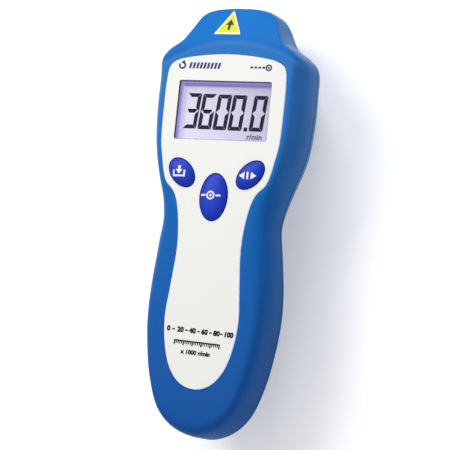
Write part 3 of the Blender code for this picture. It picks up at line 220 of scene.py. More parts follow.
# The aim mark on the nose, placed likewise: a pale triangle, a yellow one on it and an arrow on both
AIM_MARK_PLACE = (-2.2, 34.6)
PALE_TRIANGLE = (10.9 * MM, 10.3 * MM)
PALE_CORNER = 0.5 * MM
PALE_THICKNESS = 0.12 * MM
YELLOW_TRIANGLE = (8.9 * MM, 8.4 * MM)
YELLOW_CORNER = 0.3 * MM
YELLOW_THICKNESS = 0.16 * MM
YELLOW_SHIFT = -0.2 * MM
ARROW_HEAD = (3.4 * MM, 2.4 * MM)
ARROW_STEM = (1.0 * MM, 2.2 * MM)
ARROW_THICKNESS = 0.2 * MM

# Surface detail that the mouldings share
GRAIN_SIZE = 0.35
GRAIN_DEPTH = 0.15
GRAIN_HEIGHT = 0.1 * MM
MOTTLING = 0.04
MOTTLING_SCALE = 90.0
MARKS_SCALE = 420.0
MARKS_SHARE = 0.16
COAT_ROUGHNESS = 0.25
# How sharply a painted edge sheen or shade gathers where a surface turns away
EDGE_POWER = 4.0

# The housing's painted highlights along the crease and round the panel's head, the painted highlight on the
# panel's bevel and the painted shade on the holes' walls
CREASE_RADIUS = 45.0 * MM
CREASE_WIDTH = 2.1 * MM
CREASE_HIGHLIGHT = 0.13
HEAD_HIGHLIGHT = 0.08
HIGHLIGHT_START = 6 * MM
HIGHLIGHT_END = 2 * MM
BEVEL_TILTS = (0.95, 0.7)
BEVEL_HIGHLIGHT = 0.55
DISPLAY_HOLE_REACH = 24.0 * MM
BUTTON_HOLE_REACH = 10.0 * MM

# The clear window; each side of the dark line of painted shade on it has an inset from the opening and a
# strength
WINDOW_LAP = 1.2 * MM
WINDOW_SHADE_LINE = {
    "left": (0.1 * MM, 0.7),
    "right": (0.9 * MM, 0.5),
    "top": (0.35 * MM, 0.7),
    "bottom": (0.6 * MM, 0.35),
}
WINDOW_SHADE_BLUR = 0.1 * MM
WINDOW_SHADE_START = 0.3 * MM
WINDOW_SHADE_END = 0.1 * MM
WINDOW_DARK = (0.03, 0.03, 0.04, 1.0)
WINDOW_ROUGHNESS = (0.14, 0.18)
WINDOW_ALPHA = (0.03, 0.045)
WINDOW_FILM_SCALE = 250.0
NOISE_SPREAD = (0.3, 0.7)

# The lit cell and its frame; a shade has where it starts and ends inside the opening, and a strength
CELL_BAND = (2.3 * MM, 1.2 * MM)
CELL_HAZE = (4.0 * MM, 2.0 * MM, 0.15)
CELL_LEFT = (2.4 * MM, 0.8 * MM, 0.2)
CELL_RIPPLE = 0.6 * MM
CELL_RIPPLE_SCALE = 140.0
CELL_HALF = 17.0 * MM
CELL_DARKENING = (0.35, 0.35, 0.35, 1.0)
CELL_GLOW = 0.66
CELL_ROUGHNESS = (0.4, 0.5)
CELL_FILM_SCALE = 60.0
GASKET_PAINTED_LIGHT = 0.6

# Places read from the solids
_, panel_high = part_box("face_panel")
lcd_low, lcd_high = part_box("lcd_cell")
window_low, window_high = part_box("display_window")
shell_low, shell_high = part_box("front_shell")
display_centre = Vector((0.0, (lcd_low.y + lcd_high.y) / 2, panel_high.z))
OPENING_HALF = [window_high[k] / 2 - window_low[k] / 2 - WINDOW_LAP for k in (0, 1)]
TIP_Y = shell_high.y
END_Y = shell_low.y
SHOULDER_Y = TIP_Y - NOSE_LENGTH
DISPLAY_TOP_Y = SHOULDER_Y - SHOULDER_ABOVE_DISPLAY
HEAD_Y = DISPLAY_TOP_Y - DISPLAY_HEIGHT - HEAD_BELOW_DISPLAY
WAIST_Y = HEAD_Y - NECK_LENGTH
GRIP_Y = WAIST_Y - GRIP_BELOW_WAIST
RIDGE_Y = DISPLAY_TOP_Y + RIDGE_ABOVE_OPENING
CREASE_MIDDLE = (2.0 * MM, RIDGE_Y + 1.5 * MM)
# How strong the housing's painted sheen is along its length
SHEEN_STEPS = (
    (END_Y, 0.16),
    (WAIST_Y, 0.56),
    (display_centre.y, 1.4),
    (DISPLAY_TOP_Y, 1.4),
    (RIDGE_Y, 0.8),
    (TIP_Y, 0.6),
)


def linear(red, green, blue):
    """A colour written as it looks on screen, 0 to 255, as the shader wants it."""
    parts = []
    for value in (red, green, blue):
        value /= 255
        parts.append(value / 12.92 if value <= 0.04045 else ((value + 0.055) / 1.055) ** 2.4)
    return (*parts, 1.0)


class Shading:
    """A material's nodes, wired in short steps."""

    def __init__(self, tree):
        self.tree = tree

    def node(self, kind, **settings):
        made = self.tree.nodes.new(kind)
        for name, value in settings.items():
            setattr(made, name, value)
        return made

    def feed(self, target, source):
        """Links a socket to the target, or sets the target's own value."""
        if isinstance(source, bpy.types.NodeSocket):
            self.tree.links.new(source, target)
        else:
            target.default_value = source

    def math(self, operation, *values, clamp=False):
        made = self.node("ShaderNodeMath", operation=operation, use_clamp=clamp)
        for socket, value in zip(made.inputs, values):
            self.feed(socket, value)
        return made.outputs[0]

    def mix(self, factor, a, b, blend="MIX"):
        made = self.node("ShaderNodeMix", data_type="RGBA", blend_type=blend)
        for name, value in (("Factor_Float", factor), ("A_Color", a), ("B_Color", b)):
            self.feed(next(s for s in made.inputs if s.identifier == name), value)
        return next(s for s in made.outputs if s.identifier == "Result_Color")

    def ramp(self, value, start, end, low=0.0, high=1.0, smooth=True):
        """A number that goes from low to high while the value goes from start to end."""
        made = self.node("ShaderNodeMapRange", interpolation_type="SMOOTHSTEP" if smooth else "LINEAR")
        for name, given in (
            ("Value", value), ("From Min", start), ("From Max", end), ("To Min", low), ("To Max", high),
        ):
            self.feed(made.inputs[name], given)
        return made.outputs["Result"]

    def steps(self, value, knots):
        """A number that eases from knot to knot; each knot is a place and the number there."""
        total = knots[0][1]
        for (start, low), (end, high) in zip(knots, knots[1:]):
            total = self.math("ADD", total, self.ramp(value, start, end, 0.0, high - low))
        return total

    def noise(self, vector, scale, detail=3.0, roughness=0.5):
        made = self.node("ShaderNodeTexNoise")
        self.feed(made.inputs["Vector"], vector)
        self.feed(made.inputs["Scale"], scale)
        made.inputs["Detail"].default_value = detail
        made.inputs["Roughness"].default_value = roughness
        return made.outputs["Fac"]

    def swing(self, noise, amount):
        """A noise turned into a number that swings about zero."""
        return self.math("MULTIPLY", self.math("SUBTRACT", noise, 0.5), amount)

    def place(self):
        """The place on the piece, in metres."""
        return self.node("ShaderNodeTexCoord").outputs["Object"]

    def place_axes(self):
        """The same as three numbers."""
        made = self.node("ShaderNodeSeparateXYZ")
        self.feed(made.inputs[0], self.place())
        return made.outputs


def stations():
    """Half outlines of the parting line, the face's edge and the back's edge, from the nose's tip down.

    Each row holds a point of the parting line, then how many millimetres inside it the face's edge lies,
    across and along, and the same for the back's edge.
    """
    nose = NOSE_WIDTH / 2
    head = HEAD_WIDTH / 2
    waist = WAIST_WIDTH / 2
    grip = GRIP_WIDTH / 2
    border = FACE_BORDER
    lines = (
        (0, TIP_Y, 0, 1.4, 0, 3.0),
        (nose - 3.4 * MM, TIP_Y - 1.2 * MM, 0.3, 1.3, 2.0, 3.1),
        (nose + 0.1 * MM, TIP_Y - 3.4 * MM, 0.4, 1.2, 2.9, 3.6),
        (nose + 3.5 * MM, SHOULDER_Y + 11.8 * MM, 0.7, 0.4, 4.4, 3.2),
        (head - 9.2 * MM, SHOULDER_Y + 7.6 * MM, 1.8, 0.5, 6.5, 3.2),
        (head - 4.2 * MM, SHOULDER_Y + 4.1 * MM, 2.6, 1.0, 10.0, 4.0),
        (head - 0.8 * MM, SHOULDER_Y + 0.4 * MM, border / MM - 0.8, 1.0, 12.2, 3.5),
        (head, SHOULDER_Y - 9.0 * MM, border / MM, 0, 13.0, 1.0),
        (head - 0.2 * MM, HEAD_Y + 11.0 * MM, border / MM - 0.1, 0, 13.0, 0),
        (head - 1.6 * MM, HEAD_Y, border / MM - 0.6, 0, 12.6, 0),
        (waist + 2.9 * MM, WAIST_Y + 15.5 * MM, 3.9, 0, 11.7, 0),
        (waist + 0.9 * MM, WAIST_Y + 7.0 * MM, 7.0, -1.0, 11.2, 0),
        (waist, WAIST_Y, 8.0, 0, 11.3, 0),
        (waist + 1.0 * MM, WAIST_Y - 9.0 * MM, 9.3, 0, 11.7, 0),
        (grip + 0.2 * MM, GRIP_Y + 12.0 * MM, 8.3, 0, 12.2, 0),
        (grip, GRIP_Y, 6.9, 0, 11.8, 0),
        (grip - 1.2 * MM, GRIP_Y - 10.0 * MM, 6.4, 0, 10.8, 0),
        (grip - 3.9 * MM, END_Y + 21.0 * MM, 6.0, -0.5, 10.3, -1.0),
        (grip - 8.9 * MM, END_Y + 8.6 * MM, 4.2, -4.6, 8.5, -5.5),
        (grip - 15.6 * MM, END_Y + 2.4 * MM, 1.8, -7.6, 4.6, -8.4),
        (0, END_Y, 0, -9.0, 0, -9.4),
    )
    split = [Vector((x, y)) for x, y, *_ in lines]
    face = [Vector((x - dx * MM, y - dy * MM)) for x, y, dx, dy, _, _ in lines]
    back = [Vector((x - dx * MM, y - dy * MM)) for x, y, _, _, dx, dy in lines]
    return split, face, back


def along(y, knots):
    """A value that eases from knot to knot along the housing; each knot is a place and its value."""
    knots = sorted(knots)
    if y <= knots[0][0]:
        return knots[0][1]
    for (y0, v0), (y1, v1) in zip(knots, knots[1:]):
        if y <= y1:
            t = (y - y0) / (y1 - y0)
            return v0 + (v1 - v0) * t * t * (3 - 2 * t)
    return knots[-1][1]


def split_z(y):
    """The height of the parting line."""
    drops = ((GRIP_Y, GRIP_SPLIT_DROP), (WAIST_Y, WAIST_SPLIT_DROP), (HEAD_Y, HEAD_SPLIT_DROP))
    return FACE_Z - along(y, drops)


def shoulder_fullness(y):
    """How full the section is between the parting line and the face; 2 is a quarter of an ellipse."""
    knots = (
        (END_Y + 10 * MM, END_FULLNESS),
        (WAIST_Y - 10 * MM, WAIST_FULLNESS),
        (HEAD_Y + 4 * MM, HEAD_FULLNESS),
        (SHOULDER_Y - 6 * MM, HEAD_FULLNESS),
        (SHOULDER_Y + 4 * MM, NOSE_FULLNESS),
    )
    return along(y, knots)


def rear_fullness(y):
    """The same between the parting line and the back."""
    return along(y, ((WAIST_Y, REAR_GRIP_FULLNESS), (HEAD_Y + 8 * MM, REAR_HEAD_FULLNESS)))


def back_z(y):
    """The height of the back, which rises at the waist, the handle's end and the nose."""
    rises = (
        (END_Y, END_RISE),
        (END_Y + 18 * MM, 0.0),
        (WAIST_Y - 22 * MM, 0.0),
        (WAIST_Y, WAIST_RISE),
        (WAIST_Y + 22 * MM, 0.0),
        (SHOULDER_Y - 3 * MM, 0.0),
        (TIP_Y, NOSE_RISE),
    )
    return along(y, rises)


def face_z(y):
    """The height of the face, which is flat as far as the ridge; the nose falls away past it."""
    past = max(0.0, y - RIDGE_Y)
    eased = past * past / (2 * RIDGE_EASE) if past < RIDGE_EASE else past - RIDGE_EASE / 2
    full = TIP_Y - RIDGE_Y - RIDGE_EASE / 2
    return FACE_Z - NOSE_FALL * eased / full


def smooth_curve(chain, steps):
    """A smooth curve through a chain of points, from its second to its last but one."""
    curve = []
    for a, b, c, d in zip(chain, chain[1:], chain[2:], chain[3:]):
        ta = 0.0
        tb = ta + math.sqrt((b - a).length)
        tc = tb + math.sqrt((c - b).length)
        td = tc + math.sqrt((d - c).length)
        for k in range(steps):
            t = tb + (tc - tb) * k / steps
            ab = a.lerp(b, (t - ta) / (tb - ta))
            bc = b.lerp(c, (t - tb) / (tc - tb))
            cd = c.lerp(d, (t - tc) / (td - tc))
            abc = ab.lerp(bc, (t - ta) / (tc - ta))
            bcd = bc.lerp(cd, (t - tb) / (td - tb))
            curve.append(abc.lerp(bcd, (t - tb) / (tc - tb)))
    curve.append(chain[-2].copy())
    return curve


def smooth_half(points, steps):
    """A smooth half outline whose ends lie on the middle plane."""
    first = Vector((-points[1].x, points[1].y))
    last = Vector((-points[-2].x, points[-2].y))
    curve = smooth_curve([first, *points, last], steps)
    curve[0].x = curve[-1].x = 0.0
    return curve


def bow(x, y):
    """How far a row stands towards the nose at x, so that the rows follow the panel's arched top."""
    share = along(y, ((WAIST_Y, 0.0), (HEAD_Y, 1.0), (TIP_Y - 8 * MM, 1.0), (TIP_Y - 0.5 * MM, 0.0)))
    return share * x * x / (2 * ROW_BOW_RADIUS)


def skin(rear):
    """Half of the housing's outer surface as a fine mesh, for the shells' facets to be rounded to."""
    split, face, back = (smooth_half(line, SKIN_ROWS) for line in stations())
    if rear:
        edge, flat, fullness = back, back_z, rear_fullness
    else:
        edge, flat, fullness = face, face_z, shoulder_fullness
    places = []
    for e, r in zip(edge, split):
        row_bow = bow(e.x, r.y)
        top = flat(e.y + row_bow)
        rim = split_z(r.y) - (SPLIT_GAP if rear else 0.0)
        low = rim - SKIRT if rear else rim + SKIRT
        for c in range(SKIN_COLUMNS):
            f = c / SKIN_COLUMNS
            places.append(Vector((e.x * f, e.y + row_bow * (1 - f * f), top)))
        for k in range(SKIN_LEVELS + 1):
            t = math.pi / 2 * k / SKIN_LEVELS
            level = e.lerp(r, math.sin(t) ** (2 / fullness(r.y)))
            up = math.cos(t) ** (2 / fullness(r.y)) if k < SKIN_LEVELS else 0.0
            places.append(Vector((level.x, level.y, low + (top - low) * up)))
        places.append(Vector((r.x, r.y, rim)))
    bm = bmesh.new()
    columns = SKIN_COLUMNS + SKIN_LEVELS + 1
    bmesh.ops.create_grid(bm, x_segments=columns, y_segments=len(split) - 1, size=1.0)
    for vert, place in zip(bm.verts, places):
        vert.co = place
    bmesh.ops.remove_doubles(bm, verts=bm.verts, dist=SKIN_MERGE)
    bmesh.ops.recalc_face_normals(bm, faces=bm.faces)
    bm.normal_update()
    bm.faces.ensure_lookup_table()
    return bm, BVHTree.FromBMesh(bm)


def nearest_on_skin(surface, place):
    """The nearest place on the surface, its smooth normal and how far off it is, on either side."""
    bm, tree = surface
    side = -1.0 if place.x < 0 else 1.0
    found, _, index, distance = tree.find_nearest(Vector((abs(place.x), place.y, place.z)), SKIN_REACH)
    if found is None:
        return None, None, None
    corners = bm.faces[index].verts
    shares = interpolate.poly_3d_calc([vert.co for vert in corners], found)
    normal = sum((share * vert.normal for share, vert in zip(shares, corners)), Vector())
    if abs(found.x) < MIDDLE_REACH:
        normal.x = 0.0
    found.x *= side
    normal.x *= side
    return found, normal.normalized(), distance


def merged_solid(name):
    """A copy of a solid's mesh with its loose facets joined."""
    bm = bmesh.new()
    bm.from_mesh(nodes[name].data)
    bmesh.ops.remove_doubles(bm, verts=bm.verts, dist=FACET_MERGE)
    return bm


def corner_normals(mesh):
    """The normals that a mesh is shaded with, one for each corner of its faces."""
    return [corner.vector.copy() for corner in mesh.corner_normals]


def rounded_copy(name, rear, material, body, reach=OUTER_REACH):
    """A merged copy of a shell whose outer facets are divided and laid on the smooth surface.

    reach: how far off that surface a facet may lie and still be an outer one.
    """
    surface = skin(rear)
    bm = merged_solid(name)
    outer = bm.faces.layers.int.new("outer")
    for face in bm.faces:
        found, normal, distance = nearest_on_skin(surface, face.calc_center_median())
        near = found is not None and distance < reach
        face[outer] = int(near and normal.dot(face.normal) > OUTER_FACING)
    settled = set()
    for _ in range(SKIN_PASSES):
        for vert in bm.verts:
            if vert not in settled and any(face[outer] for face in vert.link_faces):
                settled.add(vert)
                found, *_ = nearest_on_skin(surface, vert.co)
                if found is not None:
                    vert.co = found
        coarse = []
        for edge in bm.edges:
            if edge.calc_length() < SKIN_SHORTEST or not any(face[outer] for face in edge.link_faces):
                continue
            middle = (edge.verts[0].co + edge.verts[1].co) / 2
            found, _, distance = nearest_on_skin(surface, middle)
            if found is not None and distance > SKIN_FLATNESS:
                coarse.append(edge)
        if not coarse:
            break
        bmesh.ops.subdivide_edges(bm, edges=coarse, cuts=1)
        wide = [face for face in bm.faces if len(face.verts) > 3]
        bmesh.ops.triangulate(bm, faces=wide, quad_method="SHORT_EDGE")
    bmesh.ops.remove_doubles(bm, verts=bm.verts, dist=SLIVER_MERGE)
    bmesh.ops.dissolve_degenerate(bm, dist=SLIVER_MERGE, edges=bm.edges)
    made = piece_from(bm, name + "_finished", material, body)
    mesh = made.data
    marks = mesh.attributes["outer"].data
    normals = corner_normals(mesh)
    for polygon in mesh.polygons:
        if marks[polygon.index].value:
            for corner in polygon.loop_indices:
                place = mesh.vertices[mesh.loops[corner].vertex_index].co
                found, normal, _ = nearest_on_skin(surface, place)
                if found is not None:
                    normals[corner] = normal
    mesh.normals_split_custom_set(normals)
    mesh.attributes.remove(mesh.attributes["outer"])
    surface[0].free()
    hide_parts(name)


def moulded_surface_group():
    """Colour, roughness and normal of moulded plastic.

    It has a fine spark grain, slight mottling and faint handling marks.
    """
    group = bpy.data.node_groups.new("moulded surface", "ShaderNodeTree")
    for name, kind, value in (
        ("Colour", "NodeSocketColor", (0.5, 0.5, 0.5, 1.0)),
        ("Roughness", "NodeSocketFloat", 0.45),
        ("Grain size", "NodeSocketFloat", GRAIN_SIZE),
        ("Grain depth", "NodeSocketFloat", GRAIN_DEPTH),
        ("Mottling", "NodeSocketFloat", MOTTLING),
    ):
        socket = group.interface.new_socket(name, in_out="INPUT", socket_type=kind)
        socket.default_value = value
    group.interface.new_socket("Colour", in_out="OUTPUT", socket_type="NodeSocketColor")
    group.interface.new_socket("Roughness", in_out="OUTPUT", socket_type="NodeSocketFloat")
    group.interface.new_socket("Normal", in_out="OUTPUT", socket_type="NodeSocketVector")
    shading = Shading(group)
    given = shading.node("NodeGroupInput").outputs
    put = shading.node("NodeGroupOutput").inputs
    place = shading.place()
    frequency = shading.math("DIVIDE", 1000.0, given["Grain size"])
    grain = shading.noise(place, frequency, 2.0)
    broad = shading.noise(place, MOTTLING_SCALE, 3.0)
    marks = shading.noise(place, MARKS_SCALE, 4.0, 0.7)
    shade = shading.swing(broad, given["Mottling"])
    speck = shading.swing(grain, given["Mottling"])
    level = shading.math("ADD", shading.math("ADD", 1.0, shade), speck)
    colour = shading.node("ShaderNodeVectorMath", operation="SCALE")
    shading.feed(colour.inputs[0], given["Colour"])
    shading.feed(colour.inputs["Scale"], level)
    shading.feed(put["Colour"], colour.outputs[0])
    worn = shading.swing(marks, MARKS_SHARE)
    shading.feed(put["Roughness"], shading.math("ADD", given["Roughness"], worn, clamp=True))
    bump = shading.node("ShaderNodeBump")
    bump.inputs["Distance"].default_value = GRAIN_HEIGHT
    shading.feed(bump.inputs["Strength"], given["Grain depth"])
    shading.feed(bump.inputs["Height"], grain)
    shading.feed(put["Normal"], bump.outputs[0])
    return group


MOULDED = moulded_surface_group()


def start_material(name):
    """A new material, its nodes and its shader."""
    made = bpy.data.materials.new(name)
    made.use_nodes = True
    shading = Shading(made.node_tree)
    shader = made.node_tree.nodes["Principled BSDF"]
    return made, shading, shader


def turned_away(shading, strength):
    """How much of an edge colour shows, for a painted sheen or painted shade: the more the surface turns
    away, the more of it.
    """
    facing = shading.node("ShaderNodeLayerWeight").outputs["Facing"]
    return shading.math("MULTIPLY", shading.math("POWER", facing, EDGE_POWER), strength)


def moulded(
    name, colour, roughness, grain=GRAIN_SIZE, depth=GRAIN_DEPTH, mottling=MOTTLING,
    coat=0.0, metallic=0.0, specular=0.5, edge=None,
):
    """A plastic, rubber, paint or metal with the shared surface detail.

    colour: a colour, or a function that wires one.
    edge: a colour of painted sheen or shade, and how strongly it shows where the surface turns away.
    """
    made, shading, shader = start_material(name)
    if callable(colour):
        colour = colour(shading)
    if edge:
        colour = shading.mix(turned_away(shading, edge[1]), colour, edge[0])
    surface = shading.node("ShaderNodeGroup", node_tree=MOULDED)
    shading.feed(surface.inputs["Colour"], colour)
    surface.inputs["Roughness"].default_value = roughness
    surface.inputs["Grain size"].default_value = grain
    surface.inputs["Grain depth"].default_value = depth
    surface.inputs["Mottling"].default_value = mottling
    shading.feed(shader.inputs["Base Color"], surface.outputs["Colour"])
    shading.feed(shader.inputs["Roughness"], surface.outputs["Roughness"])
    shading.feed(shader.inputs["Normal"], surface.outputs["Normal"])
    shader.inputs["Metallic"].default_value = metallic
    shader.inputs["Coat Weight"].default_value = coat
    shader.inputs["Coat Roughness"].default_value = COAT_ROUGHNESS
    shader.inputs["Specular IOR Level"].default_value = specular
    return made


def printed(name, colour, roughness=0.5, specular=0.25):
    """Screen-printed ink: nearly even, with a faint unevenness of its film."""
    return moulded(name, colour, roughness, grain=0.25, depth=0.03, mottling=0.05, specular=specular)


def piece_from(bm, name, material, body, smooth=True):
    """A finished mesh as a piece that rides on a body."""
    mesh = bpy.data.meshes.new(name)
    bm.to_mesh(mesh)
    bm.free()
    mesh.materials.append(material)
    if smooth:
        mesh.shade_smooth()
        mesh.set_sharp_from_angle(angle=SHARP_ANGLE)
    made = bpy.data.objects.new(name, mesh)
    bpy.context.scene.collection.objects.link(made)
    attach(made, body)
    return made


def print_piece(bm, name, ink, body="housing"):
    """A finished mark as a piece, shaded flat."""
    piece_from(bm, name, ink, body, smooth=False)


def smoothed_copy(name, material, body):
    """A merged, smooth-shaded copy of a solid, which stands for it; its level faces stay flat."""
    made = piece_from(merged_solid(name), name + "_finished", material, body)
    mesh = made.data
    normals = corner_normals(mesh)
    for polygon in mesh.polygons:
        if abs(polygon.normal.z) > LEVEL:
            for corner in polygon.loop_indices:
                normals[corner] = polygon.normal.copy()
    mesh.normals_split_custom_set(normals)
    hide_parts(name)
    return made


def shade_hole_walls(plate, middle, reach, material):
    """Gives the walls of a plate's hole, which lie within reach of its middle, a darker finish of painted
    shade.
    """
    mesh = plate.data
    mesh.materials.append(material)
    for polygon in mesh.polygons:
        towards = middle - polygon.center
        towards.z = 0.0
        upright = abs(polygon.normal.z) < LEVEL
        if upright and towards.length < reach and towards.dot(polygon.normal) > 0:
            polygon.material_index = len(mesh.materials) - 1


def move(bm, x, y, z=0.0):
    """Shifts a whole mesh."""
    bmesh.ops.translate(bm, vec=(x, y, z), verts=bm.verts)


def solid_text(words, height, bold):
    """Words as a thin solid, centred on the origin, with capitals of the given height."""
    curve = bpy.data.curves.new("words", "FONT")
    curve.body = words
    curve.align_x = "CENTER"
    curve.align_y = "CENTER"
    curve.size = height / CAPITAL_SHARE
    curve.offset = bold
    curve.extrude = PRINT_THICKNESS / 2
    curve.resolution_u = LETTER_STEPS
    guide = bpy.data.objects.new("words", curve)
    bpy.context.scene.collection.objects.link(guide)
    bpy.context.view_layer.update()
    solid = guide.evaluated_get(bpy.context.evaluated_depsgraph_get())
    mesh = bpy.data.meshes.new_from_object(solid)
    bpy.data.objects.remove(guide)
    bpy.data.curves.remove(curve)
    bm = bmesh.new()
    bm.from_mesh(mesh)
    bpy.data.meshes.remove(mesh)
    bmesh.ops.remove_doubles(bm, verts=bm.verts, dist=LETTER_MERGE)
    return bm


def stand(bm, verts, place, turn):
    """Turns a shape about the origin and puts it in its place."""
    matrix = Matrix.Translation((*place, 0.0)) @ Matrix.Rotation(turn, 4, "Z")
    bmesh.ops.transform(bm, matrix=matrix, verts=verts)


def is_upright(edge, thick):
    """Whether an edge runs through a flat shape's thickness."""
    return abs(edge.verts[0].co.z - edge.verts[1].co.z) > thick / 2


def bar(bm, size, place=(0.0, 0.0), turn=0.0, cuts=(0.0, 0.0), thick=PRINT_THICKNESS):
    """A flat bar along its own X.

    cuts: how much is cut off its two corners at -Y, and off its two corners at +Y.
    """
    made = bmesh.ops.create_cube(bm, size=1.0)["verts"]
    bmesh.ops.scale(bm, vec=(*size, thick), verts=made)
    for side, cut in zip((-1, 1), cuts):
        if cut:
            corners = [
                edge for edge in {e for v in made if v.is_valid for e in v.link_edges}
                if is_upright(edge, thick)
                and edge.verts[0].co.y * side > 0
                and abs(edge.verts[0].co.x) > size[0] / 2 - CORNER_MARGIN
            ]
            cut_off = bmesh.ops.bevel(
                bm, geom=corners, offset=cut, affect="EDGES", segments=1, profile=0.5, material=-1
            )
            made = [v for v in made if v.is_valid] + cut_off["verts"]
    made = list({v for v in made if v.is_valid})
    stand(bm, made, place, turn)
    return made


def triangle(bm, width, height, place=(0.0, 0.0), turn=0.0, corner=0.0, thick=PRINT_THICKNESS):
    """A flat triangle that points along +Y before it is turned; corner is the radius of its corners."""
    prism = bmesh.ops.create_cone(bm, cap_ends=True, segments=3, radius1=1.0, radius2=1.0, depth=thick)
    made = prism["verts"]
    low = min(v.co.y for v in made)
    high = max(v.co.y for v in made)
    wide = max(v.co.x for v in made)
    for v in made:
        v.co.x *= width / 2 / wide
        v.co.y = (v.co.y - (low + high) / 2) * height / (high - low)
    if corner:
        corners = [edge for edge in {e for v in made for e in v.link_edges} if is_upright(edge, thick)]
        rounded = bmesh.ops.bevel(
            bm, geom=corners, offset=corner, affect="EDGES",
            segments=CORNER_SEGMENTS, profile=0.5, material=-1,
        )
        made = list({v for v in made if v.is_valid} | set(rounded["verts"]))
    stand(bm, made, place, turn)


def arc(bm, radius, width, start=0.0, sweep=2 * math.pi, place=(0.0, 0.0), steps=RING_STEPS):
    """A flat ring, or a part of one, as a small cross section spun about the middle."""
    before = set(bm.verts)
    section = bmesh.ops.create_grid(bm, x_segments=1, y_segments=1, size=0.5)["verts"]
    bmesh.ops.scale(bm, vec=(width, PRINT_THICKNESS, 1.0), verts=section)
    upright = Matrix.Rotation(math.radians(90), 4, "X")
    outward = Matrix.Rotation(start, 4, "Z") @ Matrix.Translation((radius, 0.0, 0.0))
    bmesh.ops.transform(bm, matrix=outward @ upright, verts=section)
    whole = abs(sweep) > WHOLE_TURN
    faces = list({f for v in section for f in v.link_faces})
    if whole:
        bmesh.ops.delete(bm, geom=faces, context="FACES_ONLY")
        geometry = list({e for v in section for e in v.link_edges}) + section
    else:
        geometry = faces
    bmesh.ops.spin(
        bm, geom=geometry, cent=(0.0, 0.0, 0.0), axis=(0.0, 0.0, 1.0), angle=sweep, steps=steps,
        use_merge=whole, use_duplicate=False,
    )
    made = [v for v in bm.verts if v not in before]
    bmesh.ops.recalc_face_normals(bm, faces=list({f for v in made for f in v.link_faces}))
    bmesh.ops.translate(bm, vec=(*place, 0.0), verts=made)


def ring_and_dot(bm, ring, dot, place=(0.0, 0.0)):
    """A ring round a dot; each is given by the radius and the width of its line."""
    arc(bm, *ring, place=place)
    arc(bm, *dot, place=place, steps=DOT_STEPS)


def surface_of(name):
    """A solid's surface, to lay marks on from above."""
    bm = bmesh.new()
    bm.from_mesh(nodes[name].data)
    tree = BVHTree.FromBMesh(bm)
    bm.free()
    return tree


def lay(bm, tree):
    """Drops a thin mark on a surface: it is divided and each corner goes to its height above it."""
    for _ in range(PRINT_PASSES):
        coarse = [edge for edge in bm.edges if edge.calc_length() > PRINT_LONGEST]
        if not coarse:
            break
        bmesh.ops.subdivide_edges(bm, edges=coarse, cuts=1)
        bmesh.ops.triangulate(bm, faces=[face for face in bm.faces if len(face.verts) > 3])
    for vert in bm.verts:
        above = Vector((vert.co.x, vert.co.y, DROP_HEIGHT))
        found, *_ = tree.ray_cast(above, Vector((0.0, 0.0, -1.0)), DROP_HEIGHT)
        if found is not None:
            vert.co.z += found.z + PRINT_LIFT
    bmesh.ops.recalc_face_normals(bm, faces=bm.faces)


def on_display(x, y):
    """A place measured from the display's middle."""
    return display_centre.x + x * MM, display_centre.y + y * MM


def figure(bm, bars_lit, centre):
    """One slanted figure of the display, made of the bars that are lit."""
    half_wide = (DIGIT_WIDTH - DIGIT_STROKE) / 2
    half_high = (DIGIT_HEIGHT - DIGIT_STROKE) / 2
    directions = {
        "top": (0, 1), "upper right": (1, 0.5), "lower right": (1, -0.5), "bottom": (0, -1),
        "lower left": (-1, -0.5), "upper left": (-1, 0.5), "middle": (0, 0),
    }
    for name in bars_lit:
        across, up = directions[name]
        lying = name in ("top", "bottom", "middle")
        length = (DIGIT_WIDTH if lying else half_high + DIGIT_STROKE - DIGIT_WAIST) - 2 * DIGIT_GAP
        if name == "middle":
            length -= DIGIT_STROKE
        cuts = [share * DIGIT_STROKE for share in (MIDDLE_CUTS if name == "middle" else OTHER_CUTS)]
        turn = {"top": 0.0, "bottom": math.pi, "middle": 0.0}.get(name, -across * math.pi / 2)
        place = (across * half_wide, up * (half_high if lying else half_high + DIGIT_WAIST))
        made = bar(bm, (length, DIGIT_STROKE), place, turn, cuts)
        bmesh.ops.translate(bm, vec=(centre[0] * MM, centre[1] * MM, 0.0), verts=made)
        for vert in made:
            vert.co.x += (vert.co.y - centre[1] * MM) * math.tan(DIGIT_SLANT)


def digits():
    """The value on the display: five seven-bar figures, a point and the unit."""
    figures = {
        "0": ("top", "upper right", "lower right", "bottom", "lower left", "upper left"),
        "3": ("top", "upper right", "middle", "lower right", "bottom"),
        "6": ("top", "upper left", "middle", "lower left", "lower right", "bottom"),
    }
    height = lcd_high.z + PRINT_LIFT
    bm = bmesh.new()
    for shown, centre in zip(SHOWN_VALUE, DIGIT_PLACES):
        figure(bm, figures[shown], centre)
    bar(bm, (DIGIT_STROKE, DIGIT_STROKE), (POINT_PLACE[0] * MM, POINT_PLACE[1] * MM))
    move(bm, *on_display(0, 0), height)
    ink = printed("display figures", linear(32, 24, 58), specular=0.1)
    print_piece(bm, "display_figures", ink)
    unit = solid_text(SHOWN_UNIT, UNIT_HEIGHT, UNIT_BOLD)
    move(unit, *on_display(*UNIT_PLACE), height)
    pale_ink = printed("display unit", linear(84, 78, 110), specular=0.1)
    print_piece(unit, "display_unit", pale_ink)


def store_sign(bm):
    """A tray with an arrow that points down into it."""
    bar(bm, TRAY_FLOOR, (0.0, TRAY_FLOOR_Y))
    for side in (-1, 1):
        bar(bm, TRAY_SIDE, (side * TRAY_SIDE_X, TRAY_SIDE_Y))
    bar(bm, TRAY_STEM, (0.0, TRAY_STEM_Y))
    triangle(bm, *TRAY_HEAD, (0.0, TRAY_HEAD_Y), math.pi)


